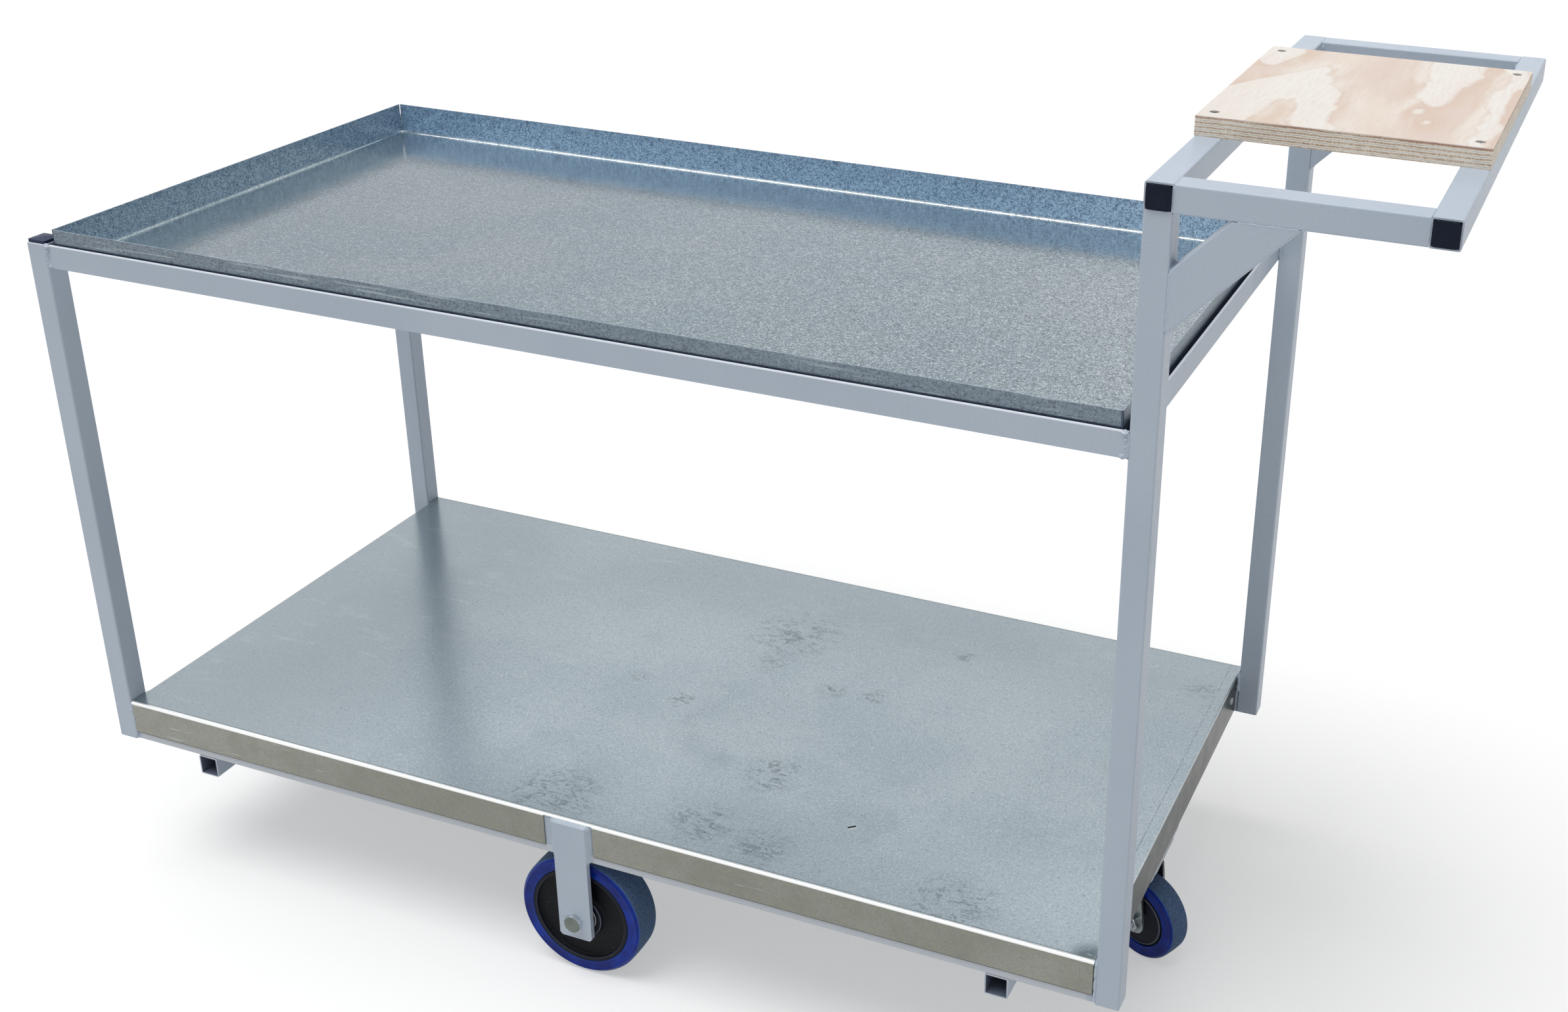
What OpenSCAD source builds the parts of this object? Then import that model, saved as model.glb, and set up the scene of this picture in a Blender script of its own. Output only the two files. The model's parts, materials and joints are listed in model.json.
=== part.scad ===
// Two-tier platform trolley: a welded tube frame with a folded sheet deck at the bottom, a loose
// sheet tray in an angle frame at the top, a raised push handle that carries a small plywood
// shelf, two fixed wheels halfway along the long sides and a swivel castor at each end.
//
// +X runs along the trolley towards the handle, +Y across it, +Z up. The origin is on the floor,
// halfway between the outermost ends in X and in the middle of the width. All sizes are in mm.

/* [Frame] */
// Length over the corner posts
frame_len = 1238; // [1000:1:1600]
// Width over the corner posts
frame_w = 600; // [500:1:800]
// Side of the square tube of the posts, the handle and the bearers
tube = 25; // [22:1:30]
// Wall of all tubes
tube_wall = 1.6; // [1.2:0.1:2.5]
// Rounding of the outer edges of all tubes
tube_corner = 2; // [1:0.1:3]
// Height of the top frame, flush with the left posts, above the floor
top_z = 768; // [600:1:850]
// Height of the underside of the handle above the floor, where the right posts end
handle_z = 963; // [900:1:1100]

/* [Base] */
// Height of the rectangular tubes round the base
rail_h = 50; // [40:1:60]
// Distance from the frame's end to the middle of the long castor bearer
bearer_in = 127.5; // [122:0.5:136]
// Distance from the frame's end to the middle of the short packer under the end rail
packer_in = 48.5; // [42:0.5:52]
// Length of the packer, across the trolley
packer_len = 100; // [90:1:160]

/* [Sheet metal] */
// Inner radius of the folds in the deck and the tray
fold_in = 0.8; // [0.4:0.1:2]
// Thickness of the deck sheet
deck_sheet = 1.2; // [0.8:0.1:2]
// Depth of the deck's folds along the two long sides, over the top
deck_lip = 41; // [30:1:46]
// Depth of the deck's folds at the two ends, over the top
deck_end_lip = 50; // [30:1:50]
// Gap between the deck's left edge and the left posts
deck_gap_left = 1; // [0.5:0.1:3]
// Gap between the deck's right edge and the right posts
deck_gap_right = 2.5; // [0.5:0.1:4]
// Play between the deck's folds and the rails beside them
deck_play = 0.3; // [0.2:0.1:0.6]
// Width of the cut-out in each side fold, where the wheel hanger passes
notch_w = 60; // [56:1:100]
// Shank radius of the rivets through the end folds
rivet_r = 2.4; // [1.6:0.1:3.2]
// Head radius of those rivets
rivet_head_r = 4.5; // [4:0.1:6]
// Height of the rivet heads
rivet_head = 1.4; // [0.8:0.1:2]
// Length of the rivets behind the tube wall
rivet_tail = 3; // [1:0.5:6]
// Distance of each rivet from the side of the frame
rivet_in = 49; // [40:1:90]
// Distance of each rivet below the deck's top
rivet_down = 23; // [16:1:28]
// Thickness of the tray sheet
tray_sheet = 1.2; // [0.8:0.1:2]
// Height of the tray's walls, from its underside
tray_h = 38; // [30:1:80]
// Gap between the tray's long walls and the angle iron
tray_gap_side = 2.6; // [1:0.1:6]
// Gap between the tray's end walls and the angle iron
tray_gap_end = 4.3; // [1:0.1:8]
// Width of the open seam at each corner of the tray
seam_w = 1; // [0.4:0.1:2]
// Depth of that seam, from the top of the walls
seam_h = 18; // [8:1:24]

/* [Top frame] */
// Leg of the angle iron that carries the tray
angle_leg = 25; // [20:1:30]
// Thickness of the angle iron
angle_wall = 3; // [2:0.5:5]

/* [Handle] */
// Distance from the right posts' outer face to the push bar's outer face
handle_reach = 226; // [180:1:320]
// Width of the rectangular tube of the diagonal braces
brace_w = 40; // [30:1:50]
// Distance from the post to where the front brace's lower edge meets the handle
brace_reach = 104; // [85:1:140]
// The same distance for the back brace, which sits a little lower
brace_reach_back = 114; // [85:1:140]
// Width of the plywood shelf, across the trolley
board_w = 300; // [200:1:420]
// Thickness of the plywood shelf
board_t = 18; // [12:1:25]
// Distance from each shelf screw to the shelf's front or back edge
screw_in = 18; // [12:1:40]
// Shank radius of the shelf screws
screw_r = 2.3; // [1.6:0.1:3]
// Head radius of the shelf screws
screw_head_r = 4.3; // [3.6:0.1:6]
// Depth of the screw heads below the shelf's top
screw_sunk = 0.8; // [0:0.1:1.5]
// Length of the screws beyond the tube wall that they are driven through
screw_tail = 4; // [2:0.5:8]
// Width of the slots in the screw heads
slot_w = 1; // [0.6:0.1:1.4]
// Depth of those slots
slot_d = 1.2; // [0.6:0.1:2]

/* [End caps] */
// Thickness of the part of each plastic cap that stands proud of its tube
cap_t = 3.5; // [2:0.5:6]
// Distance of that part's edge inside the tube's outer faces
cap_inset = 1.1; // [0.5:0.1:1.5]
// Depth of the cap's stem inside its tube
cap_stem = 12; // [6:1:20]
// Play between the stem and the tube's inner wall
cap_play = 0.2; // [0.1:0.1:0.5]

/* [Fixed wheels] */
// Diameter of the fixed wheels
wheel_d = 150; // [130:1:153]
// Width of the fixed wheels
wheel_w = 40; // [34:1:46]
// Thickness of the rubber on the fixed wheels, from tread to centre
wheel_rubber = 15.5; // [8:0.5:20]
// Rounding of the tread's shoulders on the fixed wheels
wheel_shoulder = 5; // [2:0.5:8]
// Distance of the wheels from the middle of the frame's length, towards the handle
wheel_off = 3; // [-7:0.5:7]
// Thickness of the wheel centres' web
web_t = 30; // [16:1:32]
// Thickness of the wheel centres' rim and of the wall round their bearings
rim_t = 5; // [3:0.5:8]
// Width of the flat bars that the wheels hang in
hanger_w = 40; // [34:1:44]
// Thickness of those bars
hanger_t = 6; // [4:0.5:10]
// Distance of the outer bars' upper ends below the deck's top
hanger_down = 5; // [4:0.5:20]
// Length of the bars below the axle
hanger_tail = 22; // [18:1:28]
// Size of the corners cut off the bars' lower ends
hanger_cut = 3; // [1:0.5:6]
// Space between each wheel's face and the bar beside it
wheel_gap = 4; // [3:0.5:8]
// Radius of the axle bolts
axle_r = 6; // [5:0.5:8]
// Size across the flats of the axle bolts' heads and nuts
axle_af = 19; // [17:1:24]
// Height of the axle bolts' heads
axle_head = 6.8; // [5:0.1:10]
// Height of their nuts
axle_nut = 10; // [8:0.5:14]
// Length of each axle bolt beyond its nut
axle_tail = 3; // [1:0.5:8]
// Outer radius of the sleeve that each wheel turns on
sleeve_r = 10; // [9:0.5:12]
// Space between that sleeve and the wheel's centre
sleeve_gap = 2; // [1:0.5:4]
// Outer radius of the wheel bearings
bearing_r = 20; // [17:0.5:24]
// Width of each bearing
bearing_w = 12; // [8:0.5:14]
// Wall of the rings that keep the bearings off the bars
spacer_wall = 3.4; // [2:0.1:5]

/* [Castors] */
// Total height of each castor, from the floor to the top of its plate
castor_h = 125; // [122:1:140]
// Diameter of the castor wheels
castor_d = 100; // [80:1:102]
// Width of the castor wheels
castor_w = 30; // [20:1:36]
// Thickness of the rubber on the castor wheels
castor_rubber = 14.5; // [6:0.5:16]
// Rounding of the tread's shoulders on the castor wheels
castor_shoulder = 5; // [1:0.5:6]
// Radius of the raised cover in the middle of the castor wheels
cover_r = 31.5; // [20:0.5:33]
// Height of that cover and of the rim above the groove between them
cover_h = 1.5; // [0.5:0.1:3]
// Distance from the frame's end to the swivel axis
castor_in = 82; // [80:0.5:90]
// Distance from the swivel axis to the castor's axle
trail = 36; // [25:1:40]
// Direction in which the right castor's wheel trails, from +X
turn_right = -23.7; // [-180:0.1:180]
// Direction in which the left castor's wheel trails, from +X
turn_left = -16; // [-180:0.1:180]
// Thickness of the mounting plates welded under the bearers
mount_t = 5; // [4:0.5:8]
// Width of the mounting plates, across the trolley
mount_w = 110; // [90:1:150]
// Length of the castor's top plate along the trolley
plate_l = 92; // [86:1:96]
// Width of the castor's top plate across the trolley
plate_w = 80; // [74:1:88]
// Thickness of the castor's top plate
plate_t = 3; // [2.5:0.5:4]
// Rounding of the top plate's corners
plate_corner = 6; // [2:0.5:10]
// Distance between the castor's bolts along the trolley
bolt_l = 70; // [66:1:72]
// Distance between the castor's bolts across the trolley
bolt_w = 60; // [56:1:64]
// Radius of the bolts that hold the castors
bolt_r = 4; // [3:0.5:5]
// Size across the flats of those bolts' heads
bolt_af = 13; // [10:1:15]
// Height of those bolts' heads
bolt_head = 5.3; // [4:0.1:5.6]
// Radius of the pressed cup under the castor's top plate
cup_r = 29; // [24:0.5:32]
// Height of that cup
cup_h = 6; // [6:0.5:8]
// Radius of the kingpin
king_r = 6; // [4:0.5:8]
// Radius of the kingpin's lower head
king_head_r = 10; // [9.5:0.5:14]
// Height of the kingpin's lower head
king_head = 4.5; // [3:0.5:6]
// Thickness of the fork's crown
crown_t = 4; // [3:0.5:5]
// Radius of the round part of the crown
crown_r = 33; // [28:0.5:34]
// Thickness of the fork's legs
leg_t = 3; // [2:0.5:4]
// Distance of the fork's rear upper corner from the swivel axis
leg_back = 39; // [35:1:50]
// Distance of the fork's front edge from the swivel axis
leg_front = 17; // [12:1:24]
// Rounding of the folds between the crown and the legs
leg_fold = 4; // [2:0.5:6]
// Radius of the rounded lower end of each leg
leg_end_r = 12; // [11.5:0.5:15]
// Distance of that end's middle below the axle
leg_drop = 3; // [0:0.5:6]
// Space between each side of the wheel and the leg beside it
leg_gap = 3; // [2:0.5:6]
// Radius of the castor's axle
castor_axle_r = 5; // [4:0.5:6]
// Size across the flats of the castor axle's head and nut
castor_af = 17; // [14:1:19]
// Height of that head
castor_head = 6.4; // [4:0.1:9]
// Height of that nut
castor_nut = 8; // [5:0.5:11]
// Length of the castor's axle beyond its nut
castor_tail = 2; // [1:0.5:5]
// Radius of the castor wheel's hub
hub_r = 14; // [11:0.5:18]

/* [Clearances] */
// Play all round a pin or shaft that turns in a hole
running = 0.05; // [0.02:0.01:0.09]
// Play all round a bolt, screw or rivet in its hole
bolt_play = 0.1; // [0.05:0.05:0.3]
// Space between faces that turn past each other
face_play = 0.3; // [0.2:0.1:0.6]

/* [Hidden] */
$fn = 48;

// Colours of the materials
paint = [0.66, 0.71, 0.76];
zinc = [0.62, 0.66, 0.68];
steel = [0.55, 0.57, 0.58];
black = [0.05, 0.05, 0.06];
blue = [0.13, 0.24, 0.55];
wood = [0.86, 0.75, 0.62];

// How far one shape reaches into another of the same piece, or a cutter beyond what it cuts
lap = 0.5;

// Ends of the frame and of the whole trolley along X, and its sides in Y
x_left = -(frame_len + handle_reach) / 2;
x_right = x_left + frame_len;
x_mid = (x_left + x_right) / 2;
x_bar = x_right + handle_reach;
y_side = frame_w / 2;

// Middles of the corner posts
post_x0 = x_left + tube / 2;
post_x1 = x_right - tube / 2;
post_y = y_side - tube / 2;

// Heights of the base, from the castors up
bearer_z = castor_h + mount_t;
rail_z = bearer_z + tube;
rail_top = rail_z + rail_h;
deck_top = rail_top + deck_sheet;

// Outer and inner faces of the side rails, inside the deck's folds
rail_y = y_side - deck_sheet - deck_play;
rail_in_y = rail_y - tube;

// Ends of the deck, and the middles of the end rails just inside its end folds
deck_x0 = x_left + tube + deck_gap_left;
deck_x1 = x_right - tube - deck_gap_right;
end_rail_x0 = deck_x0 + deck_sheet + tube / 2;
end_rail_x1 = deck_x1 - deck_sheet - tube / 2;

// Tray: its underside on the angles' flat legs, its ends and its sides
tray_z = top_z - angle_leg + angle_wall;
tray_x0 = x_left + tube + angle_wall + tray_gap_end;
tray_x1 = x_right - tube - angle_wall - tray_gap_end;
tray_y = y_side - angle_wall - tray_gap_side;

// Handle and shelf
handle_top = handle_z + tube;
board_x0 = x_right - tube;
board_top = handle_top + board_t;

// Fixed wheels: place along X, height of the axle, and the faces of the wheel and the inner bar in Y
wheel_x = x_mid + wheel_off;
wheel_z = wheel_d / 2;
wheel_out_y = rail_y - wheel_gap;
wheel_in_y = wheel_out_y - wheel_w;
inner_bar_y = wheel_in_y - wheel_gap;
axle_hole_r = axle_r + bolt_play;

// Castors: swivel axes, heights from the plate down, and the legs' inner and outer faces
castor_x0 = x_left + castor_in;
castor_x1 = x_right - castor_in;
plate_z = castor_h - plate_t;
crown_top = plate_z - cup_h - face_play;
crown_z = crown_top - crown_t;
king_z = crown_z - face_play - king_head;
leg_y = castor_w / 2 + leg_gap;
leg_out_y = leg_y + leg_t;
castor_z = castor_d / 2;

// Section of a bar or plate with rounded corners, solid
module outline(w, h, r) {
    translate([r - w / 2, -h / 2]) square([w - 2 * r, h]);
    translate([-w / 2, r - h / 2]) square([w, h - 2 * r]);
    for (sx = [-1, 1], sy = [-1, 1])
        translate([sx * (w / 2 - r), sy * (h / 2 - r)]) circle(r = r);
}

// Straight rectangular tube along Z from the origin
module tube_z(len, w, h) linear_extrude(len) difference() {
    outline(w, h, tube_corner);
    square([w - 2 * tube_wall, h - 2 * tube_wall], center = true);
}

// Tubes along X and along Y, given by their ends and the middle of their section
module tube_x(x0, x1, y, z, h = tube)
    translate([x0, y, z]) rotate([90, 0, 90]) tube_z(x1 - x0, tube, h);
module tube_y(y0, y1, x, z, h = tube)
    translate([x, y0, z]) rotate([-90, 0, 0]) tube_z(y1 - y0, tube, h);

// Hexagonal prism from the origin up
module hex(af, h) cylinder(h = h, d = af / cos(30), $fn = 6);

// The same with the corners of its upper end cut back, as bolt heads have them
module hex_head(af, h) intersection() {
    hex(af, h);
    cylinder(h = h, r1 = af / 2 + 2 * h, r2 = 0.48 * af);
}

// A round along Y, from y0 to y1
module round_y(y0, y1, r) translate([0, y0, 0]) rotate([-90, 0, 0]) cylinder(h = y1 - y0, r = r);

module corner_post(x, y, top) color(paint) translate([x, y, rail_z]) tube_z(top - rail_z, tube, tube);

// Square plastic cap: a rounded plate outside the tube and a stem inside, pointing up
module cap() {
    side = tube - 2 * tube_wall - 2 * cap_play;
    plate = tube - 2 * cap_inset;
    linear_extrude(cap_t) outline(plate, plate, tube_corner);
    translate([-side / 2, -side / 2, -cap_stem]) cube([side, side, cap_stem + lap]);
}
module post_caps() color(black) for (s = [-1, 1]) translate([post_x0, s * post_y, top_z]) cap();
module handle_caps() color(black) for (x = [post_x1, x_bar - tube / 2], s = [-1, 1])
    translate([x, s * y_side, handle_z + tube / 2]) rotate([s * -90, 0, 0]) cap();

// Side rail of the base, between the posts; side is -1 at the front
module side_rail(side) color(paint)
    tube_x(x_left + tube, x_right - tube, side * (rail_y - tube / 2), rail_z + rail_h / 2, rail_h);

// The rivets' places on the end at x, pointing out of the trolley
module rivet_places(x, out) for (s = [-1, 1])
    translate([x, s * (y_side - rivet_in), deck_top - rivet_down]) rotate([0, out * 90, 0]) children();

module end_rail(x, out) color(paint) difference() {
    tube_y(-rail_in_y, rail_in_y, x, rail_z + rail_h / 2, rail_h);
    rivet_places(x, out) cylinder(h = tube, r = rivet_r + bolt_play);
}

// Cross tubes under the deck on each side of the wheel hangers
module mid_bearer(side) color(paint)
    tube_y(-rail_in_y, rail_in_y, wheel_x + side * (hanger_w + tube) / 2, rail_top - tube / 2);

// Castor bearer: an open tube across the underside of the side rails
module castor_bearer(x) color(paint) tube_y(-rail_y, rail_y, x, bearer_z + tube / 2);

// Short tube between the end rail and the castor's mounting plate
module packer(x) color(paint) tube_y(-packer_len / 2, packer_len / 2, x, bearer_z + tube / 2);

// Section of a fold: from the top, where it meets the flat sheet, down the outside at x = 0
module fold(lip, t) {
    r = fold_in + t;
    translate([0, -lip]) square([t, lip - r]);
    translate([r, -r]) intersection() {
        difference() {
            circle(r = r);
            circle(r = fold_in);
        }
        translate([-r, 0]) square(r);
    }
}

// Deck: one folded sheet. The end folds lie between the side rails, and the side folds are cut
// out at the wheel hangers.
module deck() color(zinc) difference() {
    r = fold_in + deck_sheet;
    end_y = rail_in_y - deck_play;
    union() {
        translate([0, 0, rail_top]) linear_extrude(deck_sheet) {
            translate([deck_x0 + r, r - y_side]) square([deck_x1 - deck_x0 - 2 * r, frame_w - 2 * r]);
            for (y = [r - y_side, end_y])
                translate([deck_x0, y]) square([deck_x1 - deck_x0, y_side - r - end_y]);
        }
        for (s = [0, 1]) mirror([0, s, 0]) translate([deck_x0, -y_side, deck_top])
            rotate([90, 0, 90]) linear_extrude(deck_x1 - deck_x0) fold(deck_lip, deck_sheet);
        for (e = [[deck_x0, 0], [deck_x1, 1]])
            translate([e[0], end_y, deck_top]) mirror([e[1], 0, 0])
                rotate([90, 0, 0]) linear_extrude(2 * end_y) fold(deck_end_lip, deck_sheet);
    }
    for (s = [-1, 1]) translate([x_mid - notch_w / 2, s * y_side - r, deck_top - deck_lip - lap])
        cube([notch_w, 2 * r, deck_lip + lap - r]);
    for (x = [deck_x0, deck_x1]) rivet_places(x, 1)
        cylinder(h = 4 * deck_sheet, r = rivet_r + bolt_play, center = true);
}

// Rivets through the end folds into the end rails
module deck_rivets() color(steel) for (e = [[deck_x0, -1], [deck_x1, 1]]) rivet_places(e[0], e[1]) {
    cylinder(h = rivet_head, r = rivet_head_r);
    grip = deck_sheet + tube_wall + rivet_tail;
    translate([0, 0, -grip]) cylinder(h = grip + lap, r = rivet_r);
}

// Angle iron along X, upright leg outside, flat leg at the bottom
module angle_long(side) color(paint) mirror([0, side > 0 ? 1 : 0, 0])
    translate([x_left + tube, -y_side, top_z - angle_leg]) {
        cube([frame_len - 2 * tube, angle_wall, angle_leg]);
        cube([frame_len - 2 * tube, angle_leg, angle_wall]);
    }

// Angle iron across an end, between the long ones
module angle_short(side) color(paint) translate([x_mid, 0, 0]) mirror([side > 0 ? 1 : 0, 0, 0])
    translate([tube - frame_len / 2, angle_leg - y_side, top_z - angle_leg]) {
        cube([angle_wall, frame_w - 2 * angle_leg, angle_leg]);
        cube([angle_leg, frame_w - 2 * angle_leg, angle_wall]);
    }

// Section of the tray, or of its inside: w wide and h high, with rounded lower corners
module trough(w, h, r) {
    translate([-w / 2, r]) square([w, h - r]);
    translate([r - w / 2, 0]) square([w - 2 * r, h]);
    for (s = [-1, 1]) translate([s * (w / 2 - r), r]) circle(r = r);
}

// Block with the tray's plan, taken in by inset all round, with rounded lower edges
module tray_block(inset, h, r) translate([x_mid, 0, tray_z + inset]) intersection() {
    len = tray_x1 - tray_x0 - 2 * inset;
    w = 2 * (tray_y - inset);
    translate([-len / 2, 0, 0]) rotate([90, 0, 90]) linear_extrude(len) trough(w, h, r);
    translate([0, w / 2, 0]) rotate([90, 0, 0]) linear_extrude(w) trough(len, h, r);
}

// Loose tray: a folded sheet, open at the upper part of each corner
module tray() color(zinc) difference() {
    tray_block(0, tray_h, fold_in + tray_sheet);
    tray_block(tray_sheet, tray_h, fold_in);
    for (e = [[tray_x0, 1], [tray_x1, -1]], s = [-1, 1])
        translate([e[0], s * tray_y, tray_z + tray_h - seam_h]) rotate([0, 0, -45 * s * e[1]])
            translate([-3 * tray_sheet, -seam_w / 2, 0]) cube([6 * tray_sheet, seam_w, seam_h + lap]);
}

// The shelf screws' places: the top of each head, above the handle's two cross tubes
module screw_places() for (x = [post_x1, x_bar - tube / 2], s = [-1, 1])
    translate([x, s * (board_w / 2 - screw_in), board_top - screw_sunk]) children();

// Handle tube across the tops of the right posts, and the push bar
module cross_handle(x) color(paint) difference() {
    tube_y(-y_side, y_side, x, handle_z + tube / 2);
    screw_places() translate([0, 0, screw_sunk - board_t - 2 * tube_wall])
        cylinder(h = board_t, r = screw_r + bolt_play);
}

module handle_side(side) color(paint)
    tube_x(x_right, x_bar - tube, side * post_y, handle_z + tube / 2);

// Diagonal brace from the post's outer face up to the handle's underside, at 45 degrees
module brace(side, reach) color(paint) intersection() {
    translate([x_right + reach, side * post_y, handle_z]) rotate([0, -135, 0])
        translate([brace_w / 2, 0, -reach]) tube_z(3 * reach, brace_w, tube);
    translate([x_right, side > 0 ? 0 : -y_side, handle_z - 2 * reach]) cube([2 * reach, y_side, 2 * reach]);
}

// Plywood shelf, countersunk for its screws
module board() color(wood) difference() {
    translate([board_x0, -board_w / 2, handle_top]) cube([x_bar - board_x0, board_w, board_t]);
    screw_places() {
        translate([0, 0, -board_t]) cylinder(h = board_t, r = screw_r + bolt_play);
        translate([0, 0, -screw_head_r])
            cylinder(h = screw_head_r, r1 = bolt_play, r2 = screw_head_r + bolt_play);
        cylinder(h = screw_sunk + lap, r = screw_head_r + bolt_play);
    }
}

module board_screws() color(steel) screw_places() difference() {
    len = board_t - screw_sunk + tube_wall + screw_tail;
    union() {
        translate([0, 0, -screw_head_r]) cylinder(h = screw_head_r, r1 = 0, r2 = screw_head_r);
        translate([0, 0, -len]) cylinder(h = len - slot_d, r = screw_r);
    }
    for (a = [0, 90]) rotate([0, 0, a]) translate([-screw_head_r / 2, -slot_w / 2, -slot_d])
        cube([screw_head_r, slot_w, slot_d + lap]);
}

// Everything at one fixed wheel is drawn about its axle, with +Y pointing out of the trolley
module at_wheel(side) translate([wheel_x, 0, wheel_z]) mirror([0, side > 0 ? 0 : 1, 0]) children();

// Flat bar with the axle's hole, its inner face at y
module hanger_bar(y, top) difference() {
    w = hanger_w / 2;
    translate([0, y + hanger_t, 0]) rotate([90, 0, 0]) linear_extrude(hanger_t) polygon([
        [-w, top], [-w, hanger_cut - hanger_tail], [hanger_cut - w, -hanger_tail],
        [w - hanger_cut, -hanger_tail], [w, hanger_cut - hanger_tail], [w, top]]);
    round_y(y - lap, y + hanger_t + lap, axle_hole_r);
}
module hanger_outer(side) color(paint) at_wheel(side)
    hanger_bar(rail_y, deck_top - hanger_down - wheel_z);
module hanger_inner(side) color(paint) at_wheel(side)
    hanger_bar(inner_bar_y - hanger_t, rail_top - wheel_z);

// Axle bolts with their heads outside, and their nuts behind the inner bars
nut_y = inner_bar_y - hanger_t - axle_nut;
module axle_bolts() color(steel) for (side = [-1, 1]) at_wheel(side) {
    translate([0, rail_y + hanger_t, 0]) rotate([-90, 30, 0]) hex_head(axle_af, axle_head);
    round_y(nut_y - axle_tail, rail_y + hanger_t + lap, axle_r);
}
module axle_nuts() color(steel) for (side = [-1, 1]) at_wheel(side) difference() {
    translate([0, nut_y, 0]) rotate([-90, 30, 0]) hex(axle_af, axle_nut);
    round_y(nut_y - lap, nut_y + axle_nut + lap, axle_hole_r);
}

// Sleeves between the bars, and the rings on them at each side of the wheels
module axle_sleeves() color(steel) for (side = [-1, 1]) at_wheel(side) difference() {
    round_y(inner_bar_y, rail_y, sleeve_r);
    round_y(inner_bar_y - lap, rail_y + lap, axle_hole_r);
}
module axle_spacers() color(steel) for (side = [-1, 1]) at_wheel(side)
    for (y = [inner_bar_y, wheel_out_y + face_play]) difference() {
        round_y(y, y + wheel_gap - face_play, sleeve_r + bolt_play + spacer_wall);
        round_y(y - lap, y + wheel_gap + lap, sleeve_r + bolt_play);
    }

// Middle of one fixed wheel, with its axis along Z
module in_wheel(side) at_wheel(side)
    translate([0, wheel_out_y - wheel_w / 2, 0]) rotate([-90, 0, 0]) children();

// Wheel centre: rim, web and hub, with a pocket for a bearing at each end
module wheel_core(side) color(black) in_wheel(side) difference() {
    rim = wheel_d / 2 - wheel_rubber - running;
    rotate_extrude() {
        translate([0, -wheel_w / 2]) square([bearing_r + rim_t, wheel_w]);
        translate([0, -web_t / 2]) square([rim, web_t]);
        translate([rim - rim_t, -wheel_w / 2]) square([rim_t, wheel_w]);
    }
    cylinder(h = wheel_w + 2 * lap, r = sleeve_r + sleeve_gap, center = true);
    for (s = [-1, 1]) translate([0, 0, s * (wheel_w - bearing_w + lap) / 2])
        cylinder(h = bearing_w + lap, r = bearing_r + running, center = true);
}

// Rubber ring with rounded shoulders, about Z and centred
module rubber_ring(d, w, thick, shoulder) rotate_extrude() translate([d / 2 - thick, 0]) {
    translate([0, -w / 2]) square([thick - shoulder, w]);
    translate([0, shoulder - w / 2]) square([thick, w - 2 * shoulder]);
    for (s = [-1, 1]) translate([thick - shoulder, s * (w / 2 - shoulder)]) circle(r = shoulder);
}
module wheel_tyre(side) color(blue) in_wheel(side)
    rubber_ring(wheel_d, wheel_w, wheel_rubber, wheel_shoulder);

module wheel_bearings(side) color(steel) at_wheel(side)
    for (y = [wheel_in_y, wheel_out_y - bearing_w]) difference() {
        round_y(y, y + bearing_w, bearing_r);
        round_y(y - lap, y + bearing_w + lap, sleeve_r + running);
    }

// The four bolts' places round a castor, at the top of its plate
module bolt_places(x) for (sx = [-1, 1], sy = [-1, 1])
    translate([x + sx * bolt_l / 2, sy * bolt_w / 2, castor_h]) children();

// Plates welded under the bearer and the packer, drilled for the castor's bolts
module mount_plates() color(paint) for (e = [[x_left, -1, castor_x0], [x_right, 1, castor_x1]]) {
    near = e[0] - e[1] * (bearer_in + tube / 2);
    far = e[0] - e[1] * (packer_in - tube / 2);
    difference() {
        translate([min(near, far), -mount_w / 2, castor_h]) cube([abs(far - near), mount_w, mount_t]);
        bolt_places(e[2]) translate([0, 0, -lap]) cylinder(h = mount_t + 2 * lap, r = bolt_r + bolt_play);
    }
}

// Bolts up through the castor's plate into the mounting plate, heads below
module castor_bolts() color(steel) for (x = [castor_x0, castor_x1]) bolt_places(x) {
    translate([0, 0, -plate_t - bolt_head]) hex(bolt_af, bolt_head);
    translate([0, 0, -plate_t - lap]) cylinder(h = plate_t + mount_t + lap, r = bolt_r);
}

// Castor's top plate with its pressed cup
module castor_plate(x) color(zinc) difference() {
    union() {
        translate([x, 0, plate_z]) linear_extrude(plate_t) outline(plate_l, plate_w, plate_corner);
        translate([x, 0, plate_z - cup_h]) cylinder(h = cup_h + lap, r = cup_r);
    }
    translate([x, 0, plate_z - cup_h - lap])
        cylinder(h = cup_h + plate_t + 2 * lap, r = king_r + bolt_play);
    bolt_places(x) translate([0, 0, -plate_t - lap])
        cylinder(h = plate_t + 2 * lap, r = bolt_r + bolt_play);
}

// Riveted pins that the forks turn on
module kingpins() color(steel) for (x = [castor_x0, castor_x1]) translate([x, 0, king_z]) {
    cylinder(h = castor_h - king_z, r = king_r);
    cylinder(h = king_head, r = king_head_r);
}

// Each castor's turning parts are drawn about its swivel axis, with the wheel trailing towards +X
module at_castor(x, turn) translate([x, 0, 0]) rotate([0, 0, turn]) children();
module at_castor_axle(x, turn) at_castor(x, turn) translate([trail, 0, castor_z]) children();

// Point where a line from p touches the circle of radius r about c, on the side s
function touch(p, c, r, s) =
    let (d = p - c, a = atan2(d[1], d[0]) + s * acos(r / norm(d))) c + r * [cos(a), sin(a)];

// Side of the fork: down from the crown to a rounded end below the axle
module leg_side() {
    end = [trail, castor_z - leg_drop];
    front = [-leg_front, crown_top];
    back = [leg_back, crown_top];
    polygon([front, touch(front, end, leg_end_r, 1), end, touch(back, end, leg_end_r, -1), back]);
    translate(end) circle(r = leg_end_r);
}

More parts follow.
